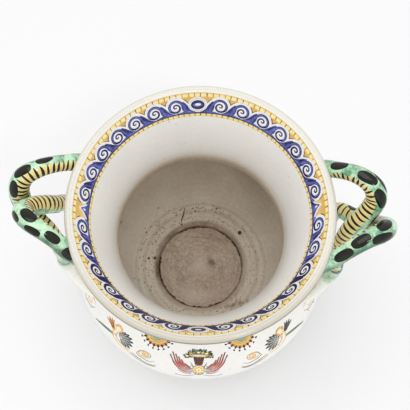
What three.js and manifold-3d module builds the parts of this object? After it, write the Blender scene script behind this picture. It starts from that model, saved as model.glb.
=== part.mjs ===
// Two-handled maiolica vase: a turned body in three luted sections, with two handles of crossing serpents.
// Millimetres, +Z up, foot on z = 0, handles on the X axis, front towards -Y.
import * as THREE from 'three';
import { mergeVertices } from 'three/addons/utils/BufferGeometryUtils.js';
import Module from 'manifold-3d';

// Heights above the table
const HEIGHT = 312;
const THROAT_LEVEL = 196;
const BELLY_LEVEL = 114;
const WELL_EDGE_LEVEL = 24.7;

// Radii of the turned body
const LIP_RADIUS = 150;
const THROAT_RADIUS = 105;
const BELLY_RADIUS = 173.2;
const WELL_RADIUS = 65;
const FOOT_RADIUS = 92;

// Wall, lip, well and foot
const WALL = 8.6;
const LIP_WIDTH = 8;
const LIP_BEAD_WIDTH = 4.8;
const LIP_BEAD_HEIGHT = 5.6;
const WELL_DEPTH = 4.7;
const DISH_RISE = 2.4;
const FOOT_HEIGHT = 12;
const FOOT_STEP = 4;
const FOOT_RING_WIDTH = 16;
const FOOT_RING_SLOPE = 3;
const FOOT_EASE = 2;
const FOOT_RECESS = 9;

// Free-hand curves: how late the neck flares, where its back meets the lip, and the hollow above the shoulder
const NECK_FLARE = 1.68;
const NECK_UNDER_LIP = 0.9;
const SHOULDER_HOLLOW = 24;

// Slip layer left between luted pieces, and the depth of the lapped seam at the throat
const SLIP = 0.3;
const LAP_DEPTH = 6;

// Facets
const TURN_FACETS = 56;
const NECK_STEPS = 8;
const LIP_STEPS = 8;
const SHOULDER_STEPS = 9;
const UNDERSIDE_STEPS = 8;
const SERPENT_SIDES = 10;
const SERPENT_STEPS = 52;

// Arch of the serpent that crosses over: [out from the lip, to the back, above the rim, coil radius]
const OVER_ARCH = [
  [-44, 55, -47, 13], [-25, 57, -32, 12], [-8, 53, -15, 10.6], [3, 46, -1, 9.6], [15, 39, 9, 9.8],
  [28, 31, 13, 10.6], [39, 21, 10, 11.6], [43, 12, 0, 12], [37, 2, -14, 11.8], [28, -6, -30, 11.3],
  [21, -13, -48, 10.8], [18, -22, -68, 10.2],
];

// Arch of the serpent that passes under, from the same marks
const UNDER_ARCH = [
  [-42, -56, -47, 13], [-22, -58, -32, 12], [-5, -53.5, -16, 10.6], [7, -48, -6, 9.6], [20, -41, 3, 9.8],
  [33, -34, 7, 10.6], [46, -27, 4, 11.6], [54.5, -18, -9, 12], [55, -8, -32, 11.8], [45, 3, -53, 11.3],
  [32, 14, -66, 10.8], [23, 25, -79, 10.2],
];

// Leg that drops to the shoulder: [out from the belly radius, away from the arch, above the belly, radius]
const LEG = [[-2.2, 33, 84, 9.6], [0.3, 35, 66, 9.4], [0.3, 37, 51, 9.1], [-2.5, 40.5, 38.5, 8.6]];

// Tail that lies on the shoulder: [stand-off from the skin, away from the arch, above the belly, coil radius]
const TAIL = [
  [9.5, 45, 30, 7.9], [5.5, 53, 29.5, 6.9], [3, 61.5, 32.5, 5.7], [2, 69, 36.5, 4.4], [1.6, 75.5, 40.5, 2.8],
];
const TAIL_TIP = 1.6;

// Sizes that follow from the ones above
const RIM_RADIUS = LIP_RADIUS - LIP_WIDTH;
const BEAD_RADIUS = LIP_RADIUS - LIP_BEAD_WIDTH;
const BEAD_START = Math.acos((RIM_RADIUS - BEAD_RADIUS) / LIP_BEAD_WIDTH);
const BEAD_LEVEL = HEIGHT - LIP_BEAD_HEIGHT;
const RIM_LEVEL = BEAD_LEVEL + LIP_BEAD_HEIGHT * Math.sin(BEAD_START);
const THROAT_OUTSIDE = THROAT_RADIUS + WALL;
const LAP_RADIUS = THROAT_RADIUS + WALL / 2;
const FOOT_NECK_RADIUS = FOOT_RADIUS - FOOT_STEP;

const wasm = await Module();
wasm.setup();

const glaze = { color: 0xe9e6dd, roughness: 0.22 };
const serpentGlaze = { color: 0x7fc4a0, roughness: 0.25 };

const point = (radius, level) => new THREE.Vector2(radius, level);
const steps = (count) => Array.from({ length: count + 1 }, (_, i) => i / count);

// Inside of the neck at a share of its height: a power curve from the throat to the rim
function neckAt(share) {
  const radius = THROAT_RADIUS + (RIM_RADIUS - THROAT_RADIUS) * share ** NECK_FLARE;
  return point(radius, THREE.MathUtils.lerp(THROAT_LEVEL, RIM_LEVEL, share));
}

// Outside of the shoulder at a level: a parabola from the belly, eased into the throat by a hollow
function shoulderRadius(level) {
  const share = THREE.MathUtils.clamp((level - BELLY_LEVEL) / (THROAT_LEVEL - BELLY_LEVEL), 0, 1);
  const swell = Math.sqrt((BELLY_RADIUS - THROAT_OUTSIDE + SHOULDER_HOLLOW) ** 2 - SHOULDER_HOLLOW ** 2);
  return THROAT_OUTSIDE - SHOULDER_HOLLOW + Math.hypot(swell * (1 - share ** 2), SHOULDER_HOLLOW);
}

// Line set off from another to its left
function offset(line, distance) {
  return line.map((p, i) => {
    const run = line[Math.min(i + 1, line.length - 1)].clone().sub(line[Math.max(i - 1, 0)]).normalize();
    return point(p.x - run.y * distance, p.y + run.x * distance);
  });
}

// Closed body with its faces outward, without seams or flat triangles
function closedBody(raw) {
  raw.deleteAttribute('normal');
  raw.deleteAttribute('uv');
  const body = mergeVertices(raw, 1e-3);
  const corners = Array.from(body.index.array);
  const at = (i) => new THREE.Vector3().fromBufferAttribute(body.attributes.position, i);
  const faces = [];
  let volume = 0;
  for (let i = 0; i < corners.length; i += 3) {
    const [a, b, c] = corners.slice(i, i + 3);
    if (a === b || b === c || c === a) continue;
    faces.push([a, b, c]);
    volume += at(a).dot(at(b).cross(at(c)));
  }
  body.setIndex(faces.flatMap(([a, b, c]) => (volume < 0 ? [a, c, b] : [a, b, c])));
  body.computeVertexNormals();
  return body;
}

// Body turned about the Z axis from a profile that starts on the axis or closes on itself
function turned(profile) {
  const closed = profile[0].x > 0 ? [...profile, profile[0].clone()] : profile;
  return closedBody(new THREE.LatheGeometry(closed, TURN_FACETS).rotateX(Math.PI / 2));
}

// Coil of clay: rings of a changing radius carried along a smooth line through the stations
function coil(stations) {
  const line = new THREE.CatmullRomCurve3(stations.map(([x, y, z]) => new THREE.Vector3(x, y, z)));
  const frames = line.computeFrenetFrames(SERPENT_STEPS, false);
  const last = stations.length - 1;
  const places = steps(SERPENT_STEPS).flatMap((share, i) => {
    const mark = line.getUtoTmapping(share) * last;
    const before = Math.min(Math.floor(mark), last - 1);
    const radius = THREE.MathUtils.lerp(stations[before][3], stations[before + 1][3], mark - before);
    const centre = line.getPointAt(share);
    return Array.from({ length: SERPENT_SIDES }, (_, side) => {
      const turn = (2 * Math.PI * side) / SERPENT_SIDES;
      return centre.clone()
        .addScaledVector(frames.normals[i], radius * Math.cos(turn))
        .addScaledVector(frames.binormals[i], radius * Math.sin(turn));
    });
  });
  const start = places.length;
  const tip = start + 1;
  places.push(line.getPointAt(0));
  places.push(line.getPointAt(1).addScaledVector(frames.tangents[SERPENT_STEPS], TAIL_TIP));
  const faces = [];
  const end = SERPENT_STEPS * SERPENT_SIDES;
  for (let side = 0; side < SERPENT_SIDES; side += 1) {
    const next = (side + 1) % SERPENT_SIDES;
    for (let ring = 0; ring < end; ring += SERPENT_SIDES) {
      const [a, b] = [ring + side, ring + next];
      faces.push(a, b, b + SERPENT_SIDES, a, b + SERPENT_SIDES, a + SERPENT_SIDES);
    }
    faces.push(start, next, side, tip, end + side, end + next);
  }
  const raw = new THREE.BufferGeometry().setFromPoints(places);
  raw.setIndex(faces);
  return closedBody(raw);
}

function toManifold(geometry) {
  const vertProperties = new Float32Array(geometry.attributes.position.array);
  const triVerts = new Uint32Array(geometry.index.array);
  return new wasm.Manifold(new wasm.Mesh({ numProp: 3, vertProperties, triVerts }));
}

function toGeometry(solid) {
  const { vertProperties, triVerts } = solid.getMesh();
  const raw = new THREE.BufferGeometry();
  raw.setAttribute('position', new THREE.Float32BufferAttribute(vertProperties, 3));
  raw.setIndex(Array.from(triVerts));
  return closedBody(raw);
}

// Neck collar, with a rounded lip; its inner half drops into the belly's lapped seam
const neckInside = steps(NECK_STEPS).map(neckAt);
const lip = new THREE.EllipseCurve(
  BEAD_RADIUS, BEAD_LEVEL, LIP_BEAD_WIDTH, LIP_BEAD_HEIGHT, BEAD_START, -Math.PI / 3, true,
).getPoints(LIP_STEPS);
const neckBack = offset(steps(NECK_STEPS).map((share) => neckAt(share * NECK_UNDER_LIP)), -WALL).reverse();
const neckOutside = [...neckBack.slice(0, -1), point(THROAT_OUTSIDE, THROAT_LEVEL)];
const neckProfile = [
  ...neckInside, ...lip.slice(1), ...neckOutside,
  point(LAP_RADIUS - SLIP / 2, THROAT_LEVEL),
  point(LAP_RADIUS - SLIP / 2, THROAT_LEVEL - LAP_DEPTH),
  point(THROAT_RADIUS, THROAT_LEVEL - LAP_DEPTH),
];

// Belly: a full shoulder eased into the throat, then an elliptic underside that meets the foot
const bellyBottom = FOOT_HEIGHT + SLIP;
const shoulder = steps(SHOULDER_STEPS).map((share) => {
  const level = THREE.MathUtils.lerp(THROAT_LEVEL - SLIP, BELLY_LEVEL, share);
  return point(shoulderRadius(level), level);
});
const undersideEnd = Math.acos(FOOT_NECK_RADIUS / BELLY_RADIUS);
const undersideDrop = (BELLY_LEVEL - bellyBottom) / Math.sin(undersideEnd);
const underside = new THREE.EllipseCurve(
  0, BELLY_LEVEL, BELLY_RADIUS, undersideDrop, 0, -undersideEnd, true,
).getPoints(UNDERSIDE_STEPS);
const bellyOutside = [...shoulder, ...underside.slice(1)];
const seamFoot = THROAT_LEVEL - LAP_DEPTH - SLIP;
const bellyInside = offset(bellyOutside, -WALL)
  .filter((p) => p.y < seamFoot - WALL / 2 && p.y > WELL_EDGE_LEVEL + 2 * DISH_RISE && p.x > THROAT_RADIUS);
const dishEdge = bellyInside[bellyInside.length - 1];
const bellyProfile = [
  ...bellyOutside,
  point(WELL_RADIUS + SLIP, bellyBottom),
  point(WELL_RADIUS + SLIP, WELL_EDGE_LEVEL),
  point((WELL_RADIUS + dishEdge.x) / 2, WELL_EDGE_LEVEL + DISH_RISE),
  ...bellyInside.reverse(),
  point(THROAT_RADIUS, seamFoot),
  point(LAP_RADIUS + SLIP / 2, seamFoot),
  point(LAP_RADIUS + SLIP / 2, THROAT_LEVEL - SLIP),
];

// Foot ring with the floor disc that rises into the belly's bottom opening
const recessRadius = FOOT_RADIUS - FOOT_RING_WIDTH;
const floorLevel = WELL_EDGE_LEVEL - WELL_DEPTH;
const footProfile = [
  point(0, FOOT_RECESS), point(recessRadius, FOOT_RECESS), point(recessRadius + FOOT_RING_SLOPE, 0),
  point(FOOT_RADIUS - FOOT_EASE, 0), point(FOOT_RADIUS, FOOT_EASE), point(FOOT_RADIUS, 2 * FOOT_EASE),
  point(FOOT_NECK_RADIUS, FOOT_HEIGHT - FOOT_EASE), point(FOOT_NECK_RADIUS, FOOT_HEIGHT),
  point(WELL_RADIUS, FOOT_HEIGHT), point(WELL_RADIUS, floorLevel), point(0, floorLevel),
];

// Body filled to the axis and grown by the slip layer, which trims the coils where they are luted on
const skin = offset([...lip.slice(1), ...neckOutside.slice(0, -1), ...bellyOutside], SLIP);
const trimmer = toManifold(turned([
  point(0, HEIGHT + SLIP), point(BEAD_RADIUS, HEIGHT + SLIP), ...skin.slice(2), point(0, bellyBottom),
]));

// Serpent from its arch, leg and tail; away is the side of the handle on which the tail lies
function serpent(arch, away) {
  const stations = [
    ...arch.map(([out, back, above, radius]) => [LIP_RADIUS + out, back, RIM_LEVEL + above, radius]),
    ...LEG.map(([out, side, up, radius]) => [BELLY_RADIUS + out, away * side, BELLY_LEVEL + up, radius]),
    ...TAIL.map(([stand, side, above, radius]) => {
      const reach = shoulderRadius(BELLY_LEVEL + above) + stand;
      return [Math.sqrt(reach ** 2 - side ** 2), away * side, BELLY_LEVEL + above, radius];
    }),
  ];
  const bodies = toManifold(coil(stations)).subtract(trimmer).decompose();
  bodies.sort((a, b) => b.volume() - a.volume());
  return toGeometry(bodies[0]);
}

function piece(name, geometry, finish) {
  const mesh = new THREE.Mesh(geometry, new THREE.MeshStandardMaterial(finish));
  mesh.name = name;
  return mesh;
}

// The left handle is the right one turned half round the vase
function handle(side, turn) {
  const pair = new THREE.Group();
  pair.rotation.z = turn;
  pair.add(piece(`serpent_${side}_over`, serpent(OVER_ARCH, -1), serpentGlaze));
  pair.add(piece(`serpent_${side}_under`, serpent(UNDER_ARCH, 1), serpentGlaze));
  return pair;
}

const vase = new THREE.Group();
vase.name = 'serpent_vase';
vase.add(piece('neck_collar', turned(neckProfile), glaze));
vase.add(piece('belly_bowl', turned(bellyProfile), glaze));
vase.add(piece('foot_ring', turned(footProfile), glaze));
vase.add(handle('right', 0));
vase.add(handle('left', Math.PI));

export default vase;
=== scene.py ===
"""Looks of a two-handled maiolica vase: thrown body, painted rim and frieze, crossing serpents as handles.

Lengths are millimetres in the row frame, with +Z up, the handles on X and the front towards -Y.
They become metres in the meshes.
"""
import logging
import math
from dataclasses import dataclass, field
from enum import Enum
from typing import Any, Optional

import bpy
import numpy as np
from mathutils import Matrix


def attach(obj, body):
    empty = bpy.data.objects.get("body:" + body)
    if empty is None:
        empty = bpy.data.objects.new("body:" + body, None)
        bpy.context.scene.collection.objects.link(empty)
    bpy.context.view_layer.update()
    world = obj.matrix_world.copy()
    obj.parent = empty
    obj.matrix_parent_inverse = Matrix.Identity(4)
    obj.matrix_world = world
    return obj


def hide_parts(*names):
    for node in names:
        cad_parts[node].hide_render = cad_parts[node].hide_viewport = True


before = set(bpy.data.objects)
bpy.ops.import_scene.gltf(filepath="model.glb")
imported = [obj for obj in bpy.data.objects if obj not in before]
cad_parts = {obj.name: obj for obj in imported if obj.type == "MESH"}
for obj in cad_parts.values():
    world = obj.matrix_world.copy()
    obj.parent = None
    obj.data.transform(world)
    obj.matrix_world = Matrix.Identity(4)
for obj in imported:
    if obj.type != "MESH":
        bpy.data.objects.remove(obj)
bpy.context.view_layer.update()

BODY = "root"
MM = 0.001
Array = np.ndarray
Colour = tuple[float, float, float, float]
Point = tuple[float, float]
Material = bpy.types.Material
Node = bpy.types.Node
NodeTree = bpy.types.NodeTree
Socket = bpy.types.NodeSocket

log = logging.getLogger("serpent_vase")


def srgb(red: int, green: int, blue: int) -> Colour:
    """Linear colour of an 8-bit display colour."""
    parts = [c / 255 for c in (red, green, blue)]
    return (*(c / 12.92 if c < 0.04045 else ((c + 0.055) / 1.055) ** 2.4 for c in parts), 1.0)


def smooth(value: Array, low: float, high: float) -> Array:
    """Cubic step that rises from 0 at low to 1 at high."""
    share = np.clip((value - low) / (high - low), 0, 1)
    return share * share * (3 - 2 * share)


def spline(points: Any, count: int) -> Array:
    """Centripetal Catmull-Rom curve through given points.

    Each span is a cubic whose end slopes come from its neighbours, weighted by the root of their distances.

    Args:
        points: Rows of coordinates; every column is carried along the same curve.
        count: Number of samples, spread evenly over the spans.

    Returns:
        The samples as an array of count rows.
    """
    p = np.asarray(points, float)
    p = np.vstack([2 * p[0] - p[1], p, 2 * p[-1] - p[-2]])
    gap = np.maximum(np.linalg.norm(np.diff(p, axis=0), axis=1), 1e-6) ** 0.5
    mark = np.linspace(0, len(p) - 3, count)
    i = np.minimum(mark.astype(int), len(p) - 4)
    t = (mark - i)[:, None]
    d0, d1, d2 = (gap[i + k][:, None] for k in range(3))
    p0, p1, p2, p3 = (p[i + k] for k in range(4))
    m1 = ((p1 - p0) / d0 - (p2 - p0) / (d0 + d1) + (p2 - p1) / d1) * d1
    m2 = ((p2 - p1) / d1 - (p3 - p1) / (d1 + d2) + (p3 - p2) / d2) * d1
    return (p1 * (2 * t**3 - 3 * t**2 + 1) + m1 * (t**3 - 2 * t**2 + t)
            + p2 * (3 * t**2 - 2 * t**3) + m2 * (t**3 - t**2))


def run_of(line: Array) -> Array:
    """Distance along a line of points, starting at 0."""
    return np.concatenate([[0.0], np.cumsum(np.linalg.norm(np.diff(line, axis=0), axis=1))])


def even(line: Array, count: int) -> Array:
    """Line resampled at even distances, which are measured in its first two columns."""
    run = run_of(line[:, :2])
    return np.stack([np.interp(np.linspace(0, run[-1], count), run, column) for column in line.T], -1)


def unit(vectors: Array) -> Array:
    """Vectors scaled to length 1 along the last axis."""
    return vectors / np.maximum(np.linalg.norm(vectors, axis=-1, keepdims=True), 1e-9)


def left_of(line: Array) -> Array:
    """Unit normals to the left of a line in the plane."""
    slope = unit(np.gradient(line, axis=0))
    return np.stack([-slope[:, 1], slope[:, 0]], -1)


# Meshes

@dataclass
class MeshPile:
    """Closed tubes of quads, each with ends that are capped or joined, gathered into one mesh."""

    points: list[Array] = field(default_factory=list)
    normals: list[Array] = field(default_factory=list)
    loops: list[Array] = field(default_factory=list)
    sizes: list[Array] = field(default_factory=list)
    marks: dict[str, list[Array]] = field(default_factory=dict)
    count: int = 0

    def add_tube(self, rings: Array, flip: bool, joined: bool, marks: dict[str, Array],
                 normals: Optional[Array] = None) -> None:
        """Adds a tube whose rings each close on themselves.

        Args:
            rings: Points of shape (rows, columns, 3) in millimetres.
            flip: Whether the faces are turned round.
            joined: Whether the last ring meets the first; otherwise both ends are capped.
            marks: Values per point, each of shape (rows, columns).
            normals: Shading normals of the same shape as rings, or None for those of the faces.
        """
        rows, columns = rings.shape[:2]
        i = np.arange(rows if joined else rows - 1)[:, None]
        j = np.arange(columns)[None, :]
        k = (j + 1) % columns
        n = (i + 1) % rows
        ring = [i * columns + j, i * columns + k, n * columns + k, n * columns + j]
        quads = np.stack(ring, -1).reshape(-1, 4)
        faces = [quads[:, ::-1] if flip else quads]
        if not joined:
            caps = np.stack([np.arange(columns)[::-1], (rows - 1) * columns + np.arange(columns)])
            faces.append(caps[:, ::-1] if flip else caps)
        for block in faces:
            self.loops.append(block.ravel() + self.count)
            self.sizes.append(np.full(len(block), block.shape[1]))
        self.points.append(rings.reshape(-1, 3))
        if normals is not None:
            self.normals.append(normals.reshape(-1, 3))
        for name, values in marks.items():
            self.marks.setdefault(name, []).append(np.broadcast_to(values, (rows, columns)).ravel())
        self.count += rows * columns

    def build(self, name: str, material: Material, slot: str, *nodes: str) -> None:
        """Makes the mesh object, dresses it, and rides it on the vase.

        Args:
            name: Name of the piece.
            material: Its finish.
            slot: The record's material slot; not used.
            nodes: CAD nodes that the piece stands for.
        """
        points = np.concatenate(self.points) * MM
        loops = np.concatenate(self.loops)
        sizes = np.concatenate(self.sizes)
        mesh = bpy.data.meshes.new(name)
        mesh.vertices.add(len(points))
        mesh.vertices.foreach_set("co", points.astype(np.float32).ravel())
        mesh.loops.add(len(loops))
        mesh.loops.foreach_set("vertex_index", loops.astype(np.int32))
        mesh.polygons.add(len(sizes))
        mesh.polygons.foreach_set("loop_start", (np.cumsum(sizes) - sizes).astype(np.int32))
        mesh.update(calc_edges=True)
        mesh.validate()
        mesh.shade_smooth()
        for mark, values in self.marks.items():
            layer = mesh.attributes.new(mark, "FLOAT", "POINT")
            layer.data.foreach_set("value", np.concatenate(values).astype(np.float32))
        if self.normals:
            mesh.normals_split_custom_set_from_vertices(np.concatenate(self.normals).tolist())
        mesh.materials.append(material)
        piece = bpy.data.objects.new(name, mesh)
        bpy.context.scene.collection.objects.link(piece)
        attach(piece, BODY)
        if nodes:
            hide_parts(*nodes)
        log.info("%s: %d points, %d faces", name, len(points), len(sizes))


# Shader wiring

class Wiring:
    """Hand for adding and linking the nodes of one shader tree."""

    def __init__(self, tree: NodeTree) -> None:
        """Keeps the tree that is wired."""
        self.tree = tree

    def add(self, kind: str, inputs: Optional[dict] = None, **settings: Any) -> Node:
        """Adds a node.

        Args:
            kind: Node type without its "ShaderNode" prefix.
            inputs: Values or output sockets by input name or number.
            settings: Node properties.

        Returns:
            The node.
        """
        node = self.tree.nodes.new(kind if kind.startswith("Node") else "ShaderNode" + kind)
        for name, value in settings.items():
            setattr(node, name, value)
        for key, value in (inputs or {}).items():
            if isinstance(value, Socket):
                self.tree.links.new(value, node.inputs[key])
            else:
                node.inputs[key].default_value = value
        return node

    def math(self, operation: str, a: Any, b: Any = 0.0, clamp: bool = False) -> Socket:
        """Output of a math node."""
        return self.add("Math", {0: a, 1: b}, operation=operation, use_clamp=clamp).outputs[0]

    def times(self, a: Any, b: Any, clamp: bool = False) -> Socket:
        """Product of two values."""
        return self.math("MULTIPLY", a, b, clamp)

    def plus(self, a: Any, b: Any, clamp: bool = False) -> Socket:
        """Sum of two values."""
        return self.math("ADD", a, b, clamp)

    def around(self, value: Socket, reach: float) -> Socket:
        """Value shifted from around a half to around 0, and scaled by a reach."""
        return self.times(self.math("SUBTRACT", value, 0.5), reach)

    def mix(self, share: Any, a: Any, b: Any) -> Socket:
        """Output of a colour mix."""
        return self.add("Mix", {0: share, 6: a, 7: b}, data_type="RGBA").outputs[2]

    def step(self, value: Any, low: float, high: float) -> Socket:
        """Smooth step of a value from 0 at low to 1 at high."""
        inputs = {"Value": value, "From Min": low, "From Max": high}
        return self.add("MapRange", inputs, interpolation_type="SMOOTHSTEP").outputs[0]

    def noise(self, place: Any, scale: Any, detail: float = 3.0, rough: float = 0.55) -> Socket:
        """Value of a noise texture."""
        inputs = {"Vector": place, "Scale": scale, "Detail": detail, "Roughness": rough}
        return self.add("TexNoise", inputs).outputs[0]

    def mark(self, name: str) -> Socket:
        """Value of a mesh attribute."""
        return self.add("Attribute", attribute_name=name).outputs["Fac"]

    def place(self) -> Socket:
        """Object coordinates, in metres."""
        return self.add("TexCoord").outputs["Object"]

    def use(self, group: NodeTree, **inputs: Any) -> Socket:
        """Output of a node group that is placed with its own values."""
        return self.add("Group", inputs, node_tree=group).outputs[0]

    def link(self, value: Socket, node: Node, name: str) -> None:
        """Links an output to the named input of a node."""
        self.tree.links.new(value, node.inputs[name])

    def bump(self, shader: Node, height: Socket, strength: float) -> None:
        """Gives a shader the slight unevenness of a glaze."""
        node = self.add("Bump", {"Strength": strength, "Distance": MM, "Height": height})
        self.link(node.outputs[0], shader, "Normal")


def new_group(name: str, inputs: dict[str, float], output: str) -> tuple[Wiring, Any, Node]:
    """Starts a shader node group that puts out one value.

    Args:
        name: Name of the group.
        inputs: Float inputs with their defaults.
        output: Name of the output.

    Returns:
        The group's wiring, its input values and its output node.
    """
    tree = bpy.data.node_groups.new(name, "ShaderNodeTree")
    for key, value in inputs.items():
        tree.interface.new_socket(key, in_out="INPUT", socket_type="NodeSocketFloat").default_value = value
    tree.interface.new_socket(output, in_out="OUTPUT", socket_type="NodeSocketFloat")
    wiring = Wiring(tree)
    return wiring, wiring.add("NodeGroupInput").outputs, wiring.add("NodeGroupOutput")


@dataclass
class Effects:
    """Effects that several finishes share, each a node group."""

    warp_scale: float = 60.0
    warp_share: float = 0.02
    broad_share: float = 0.72
    speck_core: Point = (0.26, 0.12)
    pool_edge: float = 0.9
    grain_spread: float = 1.4
    load_share: float = 0.5

    def __post_init__(self) -> None:
        """Builds the groups once."""
        self.crackle = self._crackle()
        self.cloud = self._cloud()
        self.specks = self._specks()
        self.brush = self._brush()

    def _crackle(self) -> NodeTree:
        """Fine net of glaze cracks: the borders of warped cells of the given size per metre.

        Returns:
            The group, whose mask is 1 on a crack.
        """
        w, put, out = new_group("glaze_crackle", {"Scale": 160.0, "Width": 0.02}, "Mask")
        inputs = {"Vector": w.place(), "Scale": self.warp_scale, "Detail": 2.0}
        warped = w.mix(self.warp_share, w.place(), w.add("TexNoise", inputs).outputs["Color"])
        cells = w.add("TexVoronoi", {"Vector": warped, "Scale": put["Scale"]}, feature="DISTANCE_TO_EDGE")
        share = w.math("DIVIDE", cells.outputs["Distance"], put["Width"], clamp=True)
        w.link(w.math("SUBTRACT", 1.0, share), out, "Mask")
        return w.tree

    def _cloud(self) -> NodeTree:
        """Soft uneven tone of a brushed or dipped glaze, around 0.5, with a finer grain laid over it.

        Returns:
            The group.
        """
        w, put, out = new_group("glaze_cloud", {"Scale": 14.0, "Fine": 220.0}, "Tone")
        broad = w.noise(w.place(), put["Scale"], 4.0, 0.5)
        fine = w.noise(w.place(), put["Fine"], 2.0, 0.5)
        tone = w.plus(w.times(broad, self.broad_share), w.times(fine, 1 - self.broad_share))
        w.link(tone, out, "Tone")
        return w.tree

    def _specks(self) -> NodeTree:
        """Iron specks and pits: the cores of scattered cells, of which only a share is kept.

        Returns:
            The group, whose mask is 1 on a speck.
        """
        w, put, out = new_group("iron_specks", {"Scale": 150.0, "Amount": 0.4}, "Mask")
        cells = w.add("TexVoronoi", {"Vector": w.place(), "Scale": put["Scale"]})
        core = w.step(cells.outputs["Distance"], *self.speck_core)
        chance = w.add("SeparateColor", {0: cells.outputs["Color"]}).outputs[0]
        w.link(w.times(core, w.math("LESS_THAN", chance, put["Amount"])), out, "Mask")
        return w.tree

    def _brush(self) -> NodeTree:
        """Tone of a brush stroke: thin in its middle, pooled at its edges and where the brush was full.

        Returns:
            The group, whose value is 1 where the pigment is thin.
        """
        w, put, out = new_group("brush_tone", {"Pool": 0.5, "Scale": 180.0}, "Thin")
        pool = w.times(w.step(w.mark("middle"), 0.0, self.pool_edge), put["Pool"])
        spread = w.around(w.noise(w.place(), put["Scale"], 3.0, 0.5), self.grain_spread)
        load = w.plus(w.times(w.mark("load"), self.load_share), pool)
        w.link(w.plus(load, spread, clamp=True), out, "Thin")
        return w.tree


def new_finish(name: str) -> tuple[Material, Wiring, Node]:
    """Starts a material.

    Args:
        name: Its name.

    Returns:
        The material, its wiring and its Principled shader.
    """
    material = bpy.data.materials.new(name)
    material.use_nodes = True
    wiring = Wiring(material.node_tree)
    return material, wiring, material.node_tree.nodes["Principled BSDF"]


# Finishes

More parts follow.
